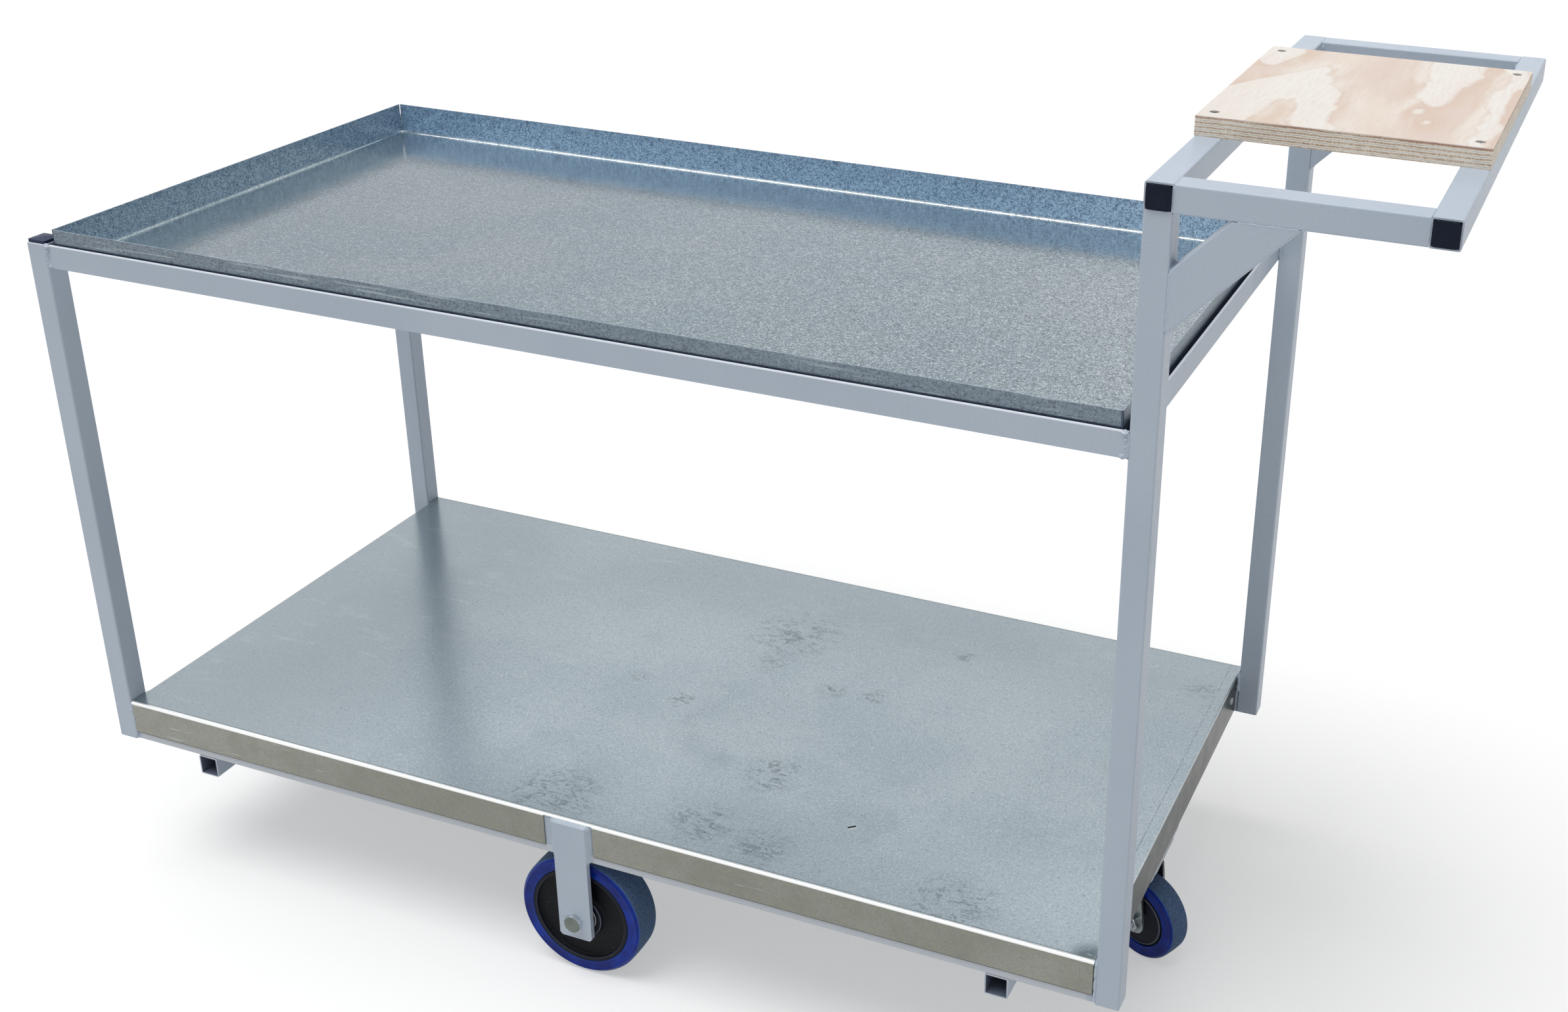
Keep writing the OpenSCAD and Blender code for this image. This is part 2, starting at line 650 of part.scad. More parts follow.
// The two legs and the flat part between them, rounded along the folds
module folded_legs() intersection() {
    union() {
        for (y = [-leg_y, leg_out_y]) translate([0, y, 0]) rotate([90, 0, 0])
            linear_extrude(leg_t) leg_side();
        translate([-leg_front, -leg_out_y, crown_z])
            cube([leg_front + leg_back, 2 * leg_out_y, crown_t]);
    }
    translate([-leg_front - lap, 0, 0]) rotate([90, 0, 90]) linear_extrude(leg_front + castor_d)
        outline(2 * leg_out_y, 2 * crown_top, leg_fold);
}

module fork(x, turn) color(zinc) at_castor(x, turn) difference() {
    union() {
        folded_legs();
        translate([0, 0, crown_z]) cylinder(h = crown_t, r = crown_r);
    }
    translate([0, 0, crown_z - lap]) cylinder(h = crown_t + 2 * lap, r = king_r + running);
    translate([trail, 0, castor_z])
        round_y(-leg_out_y - lap, leg_out_y + lap, castor_axle_r + bolt_play);
}

// The castor's axle bolt, with its head behind and its nut in front
module castor_axle(x, turn) color(steel) at_castor_axle(x, turn) {
    round_y(-leg_out_y - castor_nut - castor_tail, leg_out_y + lap, castor_axle_r);
    translate([0, leg_out_y, 0]) rotate([-90, 0, 0]) hex_head(castor_af, castor_head);
}
module castor_nut(x, turn) color(steel) at_castor_axle(x, turn) difference() {
    translate([0, -leg_out_y, 0]) rotate([90, 0, 0]) hex_head(castor_af, castor_nut);
    round_y(-leg_out_y - castor_nut - lap, -leg_out_y + lap, castor_axle_r + bolt_play);
}

// Castor wheel centre: hub, disc, and a raised cover and rim with a groove between them
module castor_core(x, turn) color(black) at_castor_axle(x, turn) rotate([-90, 0, 0]) difference() {
    rim = castor_d / 2 - castor_rubber - running;
    hub_h = leg_y - face_play;
    rotate_extrude() {
        translate([0, -hub_h]) square([hub_r, 2 * hub_h]);
        translate([0, -castor_w / 2]) square([cover_r, castor_w]);
        translate([0, cover_h - castor_w / 2]) square([rim, castor_w - 2 * cover_h]);
        translate([(cover_r + rim) / 2, -castor_w / 2]) square([(rim - cover_r) / 2, castor_w]);
    }
    cylinder(h = 3 * leg_y, r = castor_axle_r + running, center = true);
}
module castor_tyre(x, turn) color(blue) at_castor_axle(x, turn) rotate([-90, 0, 0])
    rubber_ring(castor_d, castor_w, castor_rubber, castor_shoulder);

corner_post(post_x0, -post_y, top_z);  // post_front_left
corner_post(post_x0, post_y, top_z);  // post_back_left
corner_post(post_x1, -post_y, handle_z);  // post_front_right
corner_post(post_x1, post_y, handle_z);  // post_back_right
post_caps();
side_rail(-1);  // rail_front
side_rail(1);  // rail_back
end_rail(end_rail_x0, -1);  // end_rail_left
end_rail(end_rail_x1, 1);  // end_rail_right
mid_bearer(-1);  // mid_bearer_left
mid_bearer(1);  // mid_bearer_right
castor_bearer(x_left + bearer_in);  // castor_bearer_left
castor_bearer(x_right - bearer_in);  // castor_bearer_right
packer(x_left + packer_in);  // packer_left
packer(x_right - packer_in);  // packer_right
deck();
deck_rivets();
angle_long(-1);  // angle_front
angle_long(1);  // angle_back
angle_short(-1);  // angle_left
angle_short(1);  // angle_right
tray();
cross_handle(post_x1);  // handle_tube
cross_handle(x_bar - tube / 2);  // push_bar
handle_side(-1);  // handle_side_front
handle_side(1);  // handle_side_back
handle_caps();
brace(-1, brace_reach);  // brace_front
brace(1, brace_reach_back);  // brace_back
board();
board_screws();
hanger_outer(-1);  // hanger_outer_front
hanger_inner(-1);  // hanger_inner_front
hanger_outer(1);  // hanger_outer_back
hanger_inner(1);  // hanger_inner_back
axle_bolts();
axle_nuts();
axle_sleeves();
axle_spacers();
wheel_core(-1);  // core_front
wheel_tyre(-1);  // tyre_front
wheel_bearings(-1);  // bearings_front
wheel_core(1);  // core_back
wheel_tyre(1);  // tyre_back
wheel_bearings(1);  // bearings_back
mount_plates();
castor_bolts();
castor_plate(castor_x0);  // castor_plate_left
castor_plate(castor_x1);  // castor_plate_right
kingpins();
fork(castor_x0, turn_left);  // fork_left
castor_axle(castor_x0, turn_left);  // castor_axle_left
castor_nut(castor_x0, turn_left);  // castor_nut_left
castor_core(castor_x0, turn_left);  // castor_core_left
castor_tyre(castor_x0, turn_left);  // castor_tyre_left
fork(castor_x1, turn_right);  // fork_right
castor_axle(castor_x1, turn_right);  // castor_axle_right
castor_nut(castor_x1, turn_right);  // castor_nut_right
castor_core(castor_x1, turn_right);  // castor_core_right
castor_tyre(castor_x1, turn_right);  // castor_tyre_right
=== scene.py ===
import json
import math
import re
from functools import reduce

import bmesh
import bpy
import numpy as np
from mathutils import Matrix, Quaternion, Vector

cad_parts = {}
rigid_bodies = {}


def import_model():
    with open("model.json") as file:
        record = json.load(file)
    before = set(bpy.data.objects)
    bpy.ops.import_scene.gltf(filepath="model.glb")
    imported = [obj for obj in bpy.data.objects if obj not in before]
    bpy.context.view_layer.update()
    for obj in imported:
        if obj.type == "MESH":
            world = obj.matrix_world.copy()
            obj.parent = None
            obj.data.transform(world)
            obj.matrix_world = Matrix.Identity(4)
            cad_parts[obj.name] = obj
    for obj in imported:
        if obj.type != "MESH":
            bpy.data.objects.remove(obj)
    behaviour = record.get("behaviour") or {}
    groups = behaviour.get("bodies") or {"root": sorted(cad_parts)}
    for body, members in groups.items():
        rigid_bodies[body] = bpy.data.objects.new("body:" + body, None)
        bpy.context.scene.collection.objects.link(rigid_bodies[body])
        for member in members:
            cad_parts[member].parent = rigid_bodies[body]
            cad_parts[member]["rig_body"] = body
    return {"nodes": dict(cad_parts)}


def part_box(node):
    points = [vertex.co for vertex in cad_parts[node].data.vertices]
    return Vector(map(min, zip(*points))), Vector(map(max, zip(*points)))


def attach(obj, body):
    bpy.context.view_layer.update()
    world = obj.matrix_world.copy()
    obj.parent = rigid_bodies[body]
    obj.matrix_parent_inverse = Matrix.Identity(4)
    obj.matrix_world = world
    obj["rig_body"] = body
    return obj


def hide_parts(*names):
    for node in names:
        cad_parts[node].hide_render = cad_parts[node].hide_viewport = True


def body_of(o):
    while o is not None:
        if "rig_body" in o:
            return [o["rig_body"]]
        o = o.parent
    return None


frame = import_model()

nodes = frame["nodes"]
scene = bpy.context.scene
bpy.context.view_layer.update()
mm = 0.001
print("frame loaded:", len(nodes), "nodes")


# Camera: where the photograph was taken from, in metres, and its picture in pixels
cameraSetup = {
    "place": (0.86945, -1.70852, 1.41371),
    "turn": (1.96216, 0.38558, -0.22293),    # rotation vector from the world to right, down, forward
    "focal": 2865.98,
    "centre": (1459.57, 664.16),
    "picture": (2385, 1540),
    "sensor": 36,
    "farthest": 200,
}


def addCamera(setup):
    turn = Vector(setup["turn"])
    rows = Quaternion(turn.normalized(), turn.length).to_matrix()
    camera = bpy.data.objects.new("camera", bpy.data.cameras.new("camera"))
    axes = Matrix((rows[0], -rows[1], -rows[2])).transposed().to_4x4()
    camera.matrix_world = Matrix.Translation(setup["place"]) @ axes
    wide, high = setup["picture"]
    lens = camera.data
    lens.sensor_width = setup["sensor"]
    lens.sensor_fit = "HORIZONTAL"
    lens.lens = setup["focal"] * setup["sensor"] / wide
    lens.shift_x = 0.5 - setup["centre"][0] / wide
    lens.shift_y = (setup["centre"][1] - high / 2) / wide
    lens.clip_end = setup["farthest"]
    scene.collection.objects.link(camera)
    scene.camera = camera


# Shader maths: a Value wraps one socket, and its operators add Math nodes
def mathNode(operation):
    return lambda self, *others: self.finish.maths(operation, self, *others)


class Value:
    def __init__(self, finish, socket):
        self.finish = finish
        self.socket = socket

    def __rsub__(self, other):
        return self.finish.maths("SUBTRACT", other, self)

    __add__ = __radd__ = mathNode("ADD")
    __mul__ = __rmul__ = mathNode("MULTIPLY")
    __sub__ = mathNode("SUBTRACT")
    __truediv__ = mathNode("DIVIDE")
    __pow__ = mathNode("POWER")
    __abs__ = mathNode("ABSOLUTE")
    __gt__ = mathNode("GREATER_THAN")
    __lt__ = mathNode("LESS_THAN")
    __or__ = mathNode("MAXIMUM")       # the higher of two, which joins masks
    __and__ = mathNode("MINIMUM")      # the lower of two
    fraction = mathNode("FRACT")


# A Finish is one material, or the world, while it is being made; every node goes through add
class Finish:
    def __init__(self, name, kind=bpy.data.materials):
        self.owner = kind.new(name)
        self.owner.use_nodes = True
        self.tree = self.owner.node_tree
        self.tree.nodes.clear()

    def add(self, kind, settings=None, sockets=None, out=0):
        node = self.tree.nodes.new(kind)
        for name, value in (settings or {}).items():
            setattr(node, name, value)
        for name, value in (sockets or {}).items():
            if isinstance(value, Value):
                self.tree.links.new(value.socket, node.inputs[name])
            else:
                node.inputs[name].default_value = value
        return Value(self, node.outputs[out]) if out is not None else None

    def maths(self, operation, *values):
        return self.add("ShaderNodeMath", {"operation": operation}, dict(enumerate(values)))

    def place(self, turn=(0, 0, 0), scale=(1, 1, 1)):
        at = self.add("ShaderNodeTexCoord", out="Object")
        return self.add("ShaderNodeMapping", {}, {"Vector": at, "Rotation": turn, "Scale": scale})

    def split(self, at):
        first = self.add("ShaderNodeSeparateXYZ", {}, {0: at})
        return [Value(self, output) for output in first.socket.node.outputs]

    def noise(self, at, scale, detail=2.0, roughness=0.5, distortion=0.0):
        return self.add("ShaderNodeTexNoise", {}, {"Vector": at, "Scale": scale, "Detail": detail,
                                                   "Roughness": roughness, "Distortion": distortion})

    def cells(self, at, scale):
        return self.add("ShaderNodeTexVoronoi", {}, {"Vector": at, "Scale": scale}, "Distance")

    def ramp(self, value, low, high):
        # 0 up to low and 1 from high on, with a smooth rise between; it falls where low is above high
        return self.add("ShaderNodeMapRange", {"interpolation_type": "SMOOTHSTEP"},
                        {"Value": value, "From Min": low, "From Max": high})

    def mix(self, factor, first, second):
        return self.add("ShaderNodeMix", {"data_type": "RGBA"}, {0: factor, 6: first, 7: second}, 2)

    def coats(self, look, base, *coats):
        # colours laid over a base, each where its mask is high; a colour is a name in the look or a Value
        colour, *layers = [paint(look[each]) if isinstance(each, str) else each
                           for each in (base, *[coat for mask, coat in coats])]
        for (mask, coat), layer in zip(coats, layers):
            colour = self.mix(mask, colour, layer)
        return colour

    def attribute(self, name):
        return self.add("ShaderNodeAttribute", {"attribute_name": name}, out="Fac")

    def bump(self, height, strength, distance):
        return self.add("ShaderNodeBump", {}, {"Height": height, "Strength": strength, "Distance": distance},
                        "Normal")

    def principled(self, colour, rough, normal, **others):
        # others are named as their sockets are: specularTint is "Specular Tint"
        sockets = {"Base Color": colour, "Roughness": rough, "Normal": normal}
        for name, value in others.items():
            words = re.sub("(IOR|[A-Z][a-z])", r" \1", name)
            sockets[words[0].upper() + words[1:]] = value
        return self.show(self.add("ShaderNodeBsdfPrincipled", {}, sockets, "BSDF"))

    def lightRays(self):
        # 1 for what the camera sees itself, in a reflection or through glass, and 0 for other light
        rays = self.add("ShaderNodeLightPath").socket.node.outputs
        seen = ("Is Camera Ray", "Is Glossy Ray", "Is Transmission Ray")
        return reduce(Value.__or__, [Value(self, rays[name]) for name in seen])

    def show(self, shader, kind="ShaderNodeOutputMaterial"):
        self.add(kind, {"is_active_output": True}, {"Surface": shader}, None)
        return self.owner


def paint(colour):
    # a colour given as it is seen on a screen, 0 to 255, turned into the linear values that a shader takes
    seen = np.array(colour) / 255
    linear = np.where(seen <= 0.04045, seen / 12.92, ((seen + 0.055) / 1.055) ** 2.4)
    return (*[float(value) for value in linear], 1.0)


def away(x, y, place):
    # distance from a place, seen from above
    return ((x - place[0]) ** 2 + (y - place[1]) ** 2) ** 0.5


# Powder coat on all the welded steel
framePaintLook = {
    "pale": (187, 199, 213),
    "deep": (179, 192, 207),
    "dust": (166, 178, 190),
    "speck": (136, 146, 158),
    "grain": (168, 180, 194),
    "edge": (240, 246, 255),
    "edgeZ": 0.768,        # painted highlight on the upper edges of the angle irons, which end at the right posts
    "edgeEnd": 0.4805,
    "litStrip": (212, 214, 217),
    "stripX": (-0.1138, 0.586),    # middle and half size of the rails' strip under the deck, painted paler as painted light from the floor below
    "stripY": 0.3003,
    "stripZ": (0.158, 0.0070),
    "shade": (58, 68, 92),         # within the open ends of tubes
    "wall": 0.0016,
    "roughness": 0.36,
}


def makeFramePaint(name, look, bores=()):
    # bores are the boxes of open tubes along Y, which are darker within their walls
    f = Finish(name)
    at = f.place()
    x, y, z = f.split(at)
    drift = f.noise(at, 5, 3)             # slow change of tone, some 20 cm across
    grain = f.noise(at, 420, 2)           # orange peel of the powder coat, 2 mm
    fine = f.noise(at, 1500, 1)
    speck = f.ramp(f.cells(at, 190), 0.1, 0.05)
    rubAndHighlight = f.ramp(f.noise(f.place(scale=(1, 1, 0.25)), 60, 5, 0.65), 0.6, 0.74)
    # a painted highlight along the upper edges of the angle irons
    edge = (abs(z - look["edgeZ"] + 0.0004) < 0.0005) * (x < look["edgeEnd"])
    (middleX, halfX), (middleZ, halfZ) = look["stripX"], look["stripZ"]
    # painted light: the rails' strip under the deck is painted paler
    litStrip = (abs(z - middleZ) < halfZ) * (abs(x - middleX) < halfX) * (abs(y) < look["stripY"])
    colour = f.coats(
        look, "pale",
        (f.ramp(drift, 0.3, 0.7), "deep"),
        (rubAndHighlight * 0.35, "dust"),
        (speck * 0.22, "speck"),
        (f.ramp(grain, 0.38, 0.62) * 0.16, "grain"),
        (edge * 0.9, "edge"),
        (litStrip * 0.55, "litStrip"))
    for low, high in bores:
        half = (high - low) / 2
        acrossX, acrossZ = [abs(value - (low[i] + half[i])) < half[i] - look["wall"] * 0.8
                            for value, i in ((x, 0), (z, 2))]
        colour = f.coats(look, colour, (acrossX * acrossZ * 0.8, "shade"))
    rough = look["roughness"] + f.ramp(grain, 0.3, 0.7) * 0.07 + rubAndHighlight * 0.12
    return f.principled(colour, rough, f.bump(grain + fine * 0.4, 0.1, 0.0006))


# Galvanised sheet: the loose tray
traySheetLook = {
    "floor": (121, 139, 151), "floorLeft": (110, 127, 139),
    "floorRight": (144, 158, 166), "floorCloud": (160, 168, 170),
    "floorDark": (54, 66, 76), "floorPale": (222, 232, 236),
    "beside": (188, 206, 216),     # painted reflection of the far wall on the floor along it
    "besideY": (0.182, 0.212),
    # painted reflection of the left end wall on the floor beside it
    "besideEnd": (188, 204, 210),
    "besideEndX": (-0.610, -0.635),
    # inner faces of the walls: painted reflection of the sky, lighter towards the right and greyer at the
    # ends
    "inside": (155, 187, 215), "insideRight": (194, 222, 246),
    "insideEnd": (158, 174, 184),
    "insideDark": (62, 92, 126), "insidePale": (206, 228, 244),
    # outer faces of the walls: painted reflection of the ground
    "outside": (119, 133, 145), "outsideDark": (66, 76, 86),
    "outsidePale": (176, 188, 194),
    "gapShadeAndJoint": (42, 56, 90),           # painted shade down between the tray and the angle irons; the shut joints at the near corners take the same dark colour
    # painted highlight along the inner bends
    "bendHighlight": (240, 244, 248),
    "halfWide": 0.29435,
    "left": -0.69965, "right": 0.47365,
    "floorTop": 0.7475,
    "angleTop": 0.768,
    "skin": 0.0006,        # how deep the outer face of the walls reaches
    "joint": 0.0018,       # width of the shut joint at the near corners
    "bendWall": (0.0036, 0.0028),      # where the painted highlight of the bend lies, in from the outside of the walls,
    "bendEnd": (0.0026, 0.0018),       # in from that of the ends,
    "bendHigh": (0.0022, 0.0012),      # and up from the floor
    "rubAndHighlight": (0.0062, 0.0016, 0.0008),   # and a thin painted highlight line beside it: how far in, and its soft half width
}


def makeTraySheet(look):
    f = Finish("traySheet")
    at = f.place()
    x, y, z = f.split(at)
    half, halfWide, floorTop = (look["right"] - look["left"]) / 2, look["halfWide"], look["floorTop"]
    fromMiddle, fromLine = abs(x - (look["left"] + look["right"]) / 2), abs(y)
    curl = f.ramp(abs(f.noise(at, 175, 2.5, 0.6, 1.2) - 0.5), 0.06, 0.018)     # thin curled lines of the zinc
    grit = f.noise(at, 600, 2, 0.7, 1)
    strokes = f.noise(f.place(scale=(0.6, 1, 1)), 330, 2, 0.7)
    pit = f.ramp(grit, 0.45, 0.38) | f.ramp(strokes, 0.41, 0.35) * 0.8
    fleck = f.ramp(grit, 0.55, 0.62) | f.ramp(strokes, 0.6, 0.66) * 0.6
    cloud = f.noise(at, 7, 3)
    drawn = f.ramp(f.noise(f.place(scale=(0.03, 1, 1)), 420, 2), 0.57, 0.66)
    drawn = drawn * f.ramp(cloud, 0.42, 0.55)      # fine lines along the sheet, in patches
    wall = f.ramp(z, floorTop + look["skin"], floorTop + 0.0035)
    outer = (fromLine > halfWide - look["skin"]) | (fromMiddle > half - look["skin"])
    coarse = 0.55 + f.ramp(x, -0.5, 0.4) * 0.45      # the grain stands out more towards the handle
    floorColour = f.coats(
        look, "floorLeft",
        (f.ramp(x, -0.55, 0.0), "floor"),
        (f.ramp(x, 0.22, 0.47), "floorRight"),
        (f.ramp(cloud, 0.35, 0.7) * 0.25, "floorCloud"),
        # painted reflections of the far wall and the left end on the floor
        (f.ramp(x, *look["besideEndX"]) * 0.9, "besideEnd"),
        (f.ramp(y, *look["besideY"]), "beside"),
        ((pit * 0.85 | curl * 0.2) * coarse, "floorDark"),
        (fleck * 0.75 * coarse, "floorPale"))
    # painted reflection of the sky on the walls' inner faces
    insideColour = f.coats(
        look, "inside",
        (f.ramp(x, 0.05, 0.42) * 0.85, "insideRight"),
        ((fromMiddle > half - 0.004) * 0.55, "insideEnd"),
        (pit * 0.55 | curl * 0.8, "insideDark"),
        (fleck * 0.55, "insidePale"))
    # painted reflection of the ground on the walls' outer faces
    outsideColour = f.coats(
        look, "outside",
        (pit * 0.7, "outsideDark"),
        (fleck * 0.35 + drawn * 0.55, "outsidePale"))
    # painted shade on the outer faces of the walls, low down beside the angle irons
    sunk = f.ramp(z, look["angleTop"] + 0.0016, look["angleTop"] + 0.0006)
    seam = (fromMiddle > half - look["joint"]) * (y < look["joint"] - halfWide)
    # painted highlight: the inner bend between floor and wall is painted bright, and less so at the ends
    nearWall = f.ramp(fromLine, *[halfWide - inwards for inwards in look["bendWall"]])
    nearEnd = f.ramp(fromMiddle, *[half - inwards for inwards in look["bendEnd"]])
    nearEnd = nearEnd * f.ramp(cloud, 0.3, 0.5) * 0.5
    rubIn, fading, full = look["rubAndHighlight"]
    rubAndHighlight = f.ramp(abs(fromLine - halfWide + rubIn), fading, full) * (0.25 + fleck * 0.65)
    low = f.ramp(z, *[floorTop + high for high in look["bendHigh"]])
    bendHighlight = (nearWall | nearEnd | rubAndHighlight) * low * (1 - outer)
    patchy = 0.55 + f.ramp(f.noise(at, 85, 3, 0.6), 0.42, 0.56) * 0.45
    colour = f.coats(
        look, floorColour,
        (wall, insideColour),
        (outer, outsideColour),
        (outer * sunk * 0.7, "gapShadeAndJoint"),
        (seam * 0.9, "gapShadeAndJoint"),
        (bendHighlight * patchy * (1 - pit * 0.9), "bendHighlight"))
    rough = 0.12 + pit * 0.05 + f.ramp(cloud, 0.3, 0.7) * 0.04 + outer * 0.2
    wave = f.noise(f.place(scale=(1, 1.6, 1)), 3.2, 1.5)    # the sheet is never quite flat
    bump = f.bump(grit * 0.05 + wave * 3, 0.5, 0.001)
    return f.principled(colour, rough, bump, metallic=0.85 - wall * (0.65 - outer * 0.15))


# Galvanised sheet: the deck, duller and scuffed by loads
deckSheetLook = {
    "top": (184, 196, 203),
    "topDark": (174, 187, 195),
    "topCorner": (204, 216, 222),      # towards the near right corner
    "topGrain": (146, 162, 170), "topPit": (128, 144, 152),
    "topFleck": (222, 232, 236),
    "smudge": (140, 154, 160),
    "scuff": (116, 129, 133),
    "smeared": (92, 110, 116),
    "scored": (186, 200, 204),
    "leftBackDark": (144, 156, 162),           # darker at the left and the back
    "brushed": (196, 207, 212),
    # the folds: painted reflection of the ground, olive
    "lip": (149, 150, 142), "lipDark": (138, 139, 130),
    "lipGrain": (112, 116, 108), "lipPit": (96, 98, 90),
    "lipMottle": (124, 124, 113),
    "lipEnd": (66, 71, 60),            # painted shade on the folds at the ends, beyond endX from the middle
    "lipEndFar": (48, 55, 51),
    "endX": 0.5917,
    "lipEdge": (70, 72, 70),
    "speck": (106, 116, 120),
    "scrape": (208, 214, 214),
    "fold": (250, 252, 252),           # painted highlight along the long folds, with a darker line painted behind it
    "foldY": (0.2966, 0.2973),
    "behind": (108, 116, 118),
    "behindY": (0.2948, 0.2954, 0.2961, 0.2967),
    "topZ": 0.2062,
    "lipZ": 0.1652,        # lower edge of the folds
    "left": -0.706, "right": 0.4785,
    "scribed": (92, 108, 112),
    "scribeX": 0.4655,
    "scribeY": -0.129,
    # scuffs on the top: x, y, how far they spread
    "scuffs": [(-0.06, 0.15, 0.08), (-0.06, 0.075, 0.03), (0.035, 0.045, 0.025), (0.09, 0.055, 0.022),
               (-0.187, -0.013, 0.018), (-0.118, -0.043, 0.022), (0.05, -0.14, 0.045), (-0.15, -0.268, 0.075),
               (0.02, -0.25, 0.05), (0.1, -0.262, 0.045), (0.32, -0.272, 0.065), (0.444, 0.225, 0.03),
               (0.155, 0.185, 0.02)],
    "smear": (0.474, -0.296, 0.028),       # dark and scratched: x, y, size
    "nick": (0.1727, -0.1930, 0.0046, 0.0014, 0.72),     # x, y, half length, half width, turn
    "nickPale": (226, 232, 230), "nickDark": (22, 28, 30),
}


def makeDeckSheet(look):
    f = Finish("deckSheet")
    at = f.place()
    x, y, z = f.split(at)
    half, topZ = (look["right"] - look["left"]) / 2, look["topZ"]
    fromMiddle, fromLine = abs(x - (look["left"] + look["right"]) / 2), abs(y)
    cloud = f.noise(at, 5, 4, 0.55)
    grain = f.noise(at, 330, 3, 0.65, 0.6)
    grit = f.noise(at, 520, 3, 0.7, 0.8)
    speck = f.ramp(f.cells(at, 75), 0.13, 0.06)
    brush = f.noise(f.place(turn=(0, 0, 0.25), scale=(0.25, 1, 1)), 55, 5, 0.7)
    stroke = f.noise(f.place(turn=(0, 0, 0.5), scale=(0.55, 1, 1)), 105, 4, 0.62, 1.4)
    scuffed = reduce(Value.__or__, [f.ramp(away(x, y, spot), spread, spread * 0.25)
                                    for *spot, spread in look["scuffs"]])
    scuff = f.ramp(stroke, 0.49, 0.61) * scuffed
    smudge = f.ramp(f.noise(at, 9, 5, 0.62, 0.4), 0.55, 0.78)
    scrape = f.ramp(f.noise(f.place(turn=(0, 0, -0.5), scale=(0.05, 1, 1)), 260, 2), 0.67, 0.74)
    scrape = scrape * f.ramp(f.noise(at, 9, 2), 0.52, 0.66)
    *spot, spread = look["smear"]
    smear = f.ramp(away(x, y, spot) + (cloud - 0.5) * 0.03, spread, spread * 0.35)
    scored = f.ramp(f.noise(f.place(turn=(0, 0, -0.9), scale=(0.3, 1, 1)), 420, 3, 0.7), 0.54, 0.62)
    leftBackDark = f.ramp(x, -0.25, -0.62) * 0.62 | f.ramp(y, 0.05, 0.27) * 0.35
    topColour = f.coats(
        look, "top",
        (f.ramp(cloud, 0.32, 0.68), "topDark"),
        (f.ramp(x, 0.15, 0.45) * f.ramp(y, -0.08, -0.27) * 0.6, "topCorner"),
        (f.ramp(grain, 0.46, 0.6) * 0.22, "topGrain"),
        (f.ramp(grit, 0.47, 0.38) * 0.42, "topPit"),
        (f.ramp(grit, 0.54, 0.62) * 0.42, "topFleck"),
        (smudge * 0.15, "smudge"),
        (scuff * (0.36 + f.ramp(grit, 0.52, 0.42) * 0.38) + scuffed * 0.05, "scuff"),
        (smear * 0.8, "smeared"),
        (smear * scored * 0.6, "scored"),
        (leftBackDark, "leftBackDark"),
        (f.ramp(brush, 0.55, 0.75) * 0.3, "brushed"))
    # painted shade on the end folds, deeper towards the back
    endColour = f.coats(look, "lipEnd", (f.ramp(y, -0.27, -0.18), "lipEndFar"))
    # painted reflection of the ground on the folds
    lipColour = f.coats(
        look, "lip",
        (f.ramp(cloud, 0.35, 0.65), "lipDark"),
        (f.ramp(grain, 0.45, 0.62) * 0.18, "lipGrain"),
        (fromMiddle > look["endX"], endColour),
        (f.ramp(grit, 0.46, 0.38) * 0.3, "lipPit"),
        (f.ramp(f.noise(at, 30, 5, 0.7), 0.44, 0.64) * 0.35, "lipMottle"),
        ((z < look["lipZ"] + 0.0008) * 0.8, "lipEdge"))
    side = f.ramp(z, topZ - 0.0012, topZ - 0.0026)
    broken = f.ramp(f.noise(at, 240, 2), 0.4, 0.48)
    line = (abs(x - look["scribeX"]) < 0.0005) * broken * f.ramp(y, -0.22, -0.12) * 0.55
    line = line | (abs(y - look["scribeY"]) < 0.0003) * f.ramp(cloud, 0.4, 0.55) * 0.15
    nickX, nickY, long, wide, turn = look["nick"]
    alongNick = (x - nickX) * math.cos(turn) + (y - nickY) * math.sin(turn)
    acrossNick = (y - nickY) * math.cos(turn) - (x - nickX) * math.sin(turn)
    here = (abs(alongNick) < long) * (1 - side)
    start, full, fading, end = look["behindY"]
    behind = f.ramp(fromLine, start, full) * f.ramp(fromLine, end, fading) * (z > topZ - 0.001)
    high = f.ramp(z, topZ - 0.0038, topZ - 0.0026)
    colour = f.coats(
        look, topColour,
        (side, lipColour),
        (speck * 0.36, "speck"),
        (scrape * 0.5, "scrape"),
        (line * (1 - side), "scribed"),
        (here * (abs(acrossNick + wide * 1.6) < wide * 0.8) * 0.7, "nickPale"),
        (here * (abs(acrossNick) < wide), "nickDark"),
        (behind * 0.6, "behind"),
        # painted highlight on the folds, faint on those at the ends
        (f.ramp(fromMiddle, half - 0.0024, half - 0.0016) * high * 0.08, "fold"),
        (f.ramp(fromLine, *look["foldY"]) * high, "fold"))
    rough = 0.2 + f.ramp(cloud, 0.3, 0.7) * 0.05 + smudge * 0.08 + scuff * 0.15
    rough = rough + f.ramp(x, -0.35, 0.05) * 0.09
    wave = f.noise(f.place(scale=(1, 1.4, 1)), 3, 1.5)
    bump = f.bump(grain * 0.05 + brush * 0.06 + scuff * 0.1 + wave * 5, 0.4, 0.001)
    return f.principled(colour, rough, bump, metallic=0.8)


# Zinc plating on the castors, bolts and bearings
forkZincLook = {
    "bright": (172, 180, 184),
    "dull": (128, 134, 130),
    "scratch": (214, 218, 218),
    "forkShade": (30, 35, 48),
    "forkShadeZ": (0.086, 0.106),       # painted shade on the forks from here up, under the deck
    "face": (104, 112, 106),
    "faceY": 0.3108,               # the bolts' outer faces beyond this are painted darker, as painted shade
    "roughness": 0.32,
}
plateZincLook = {**forkZincLook, "forkShadeZ": (2, 3)}       # nothing is that high, so there is no painted shade
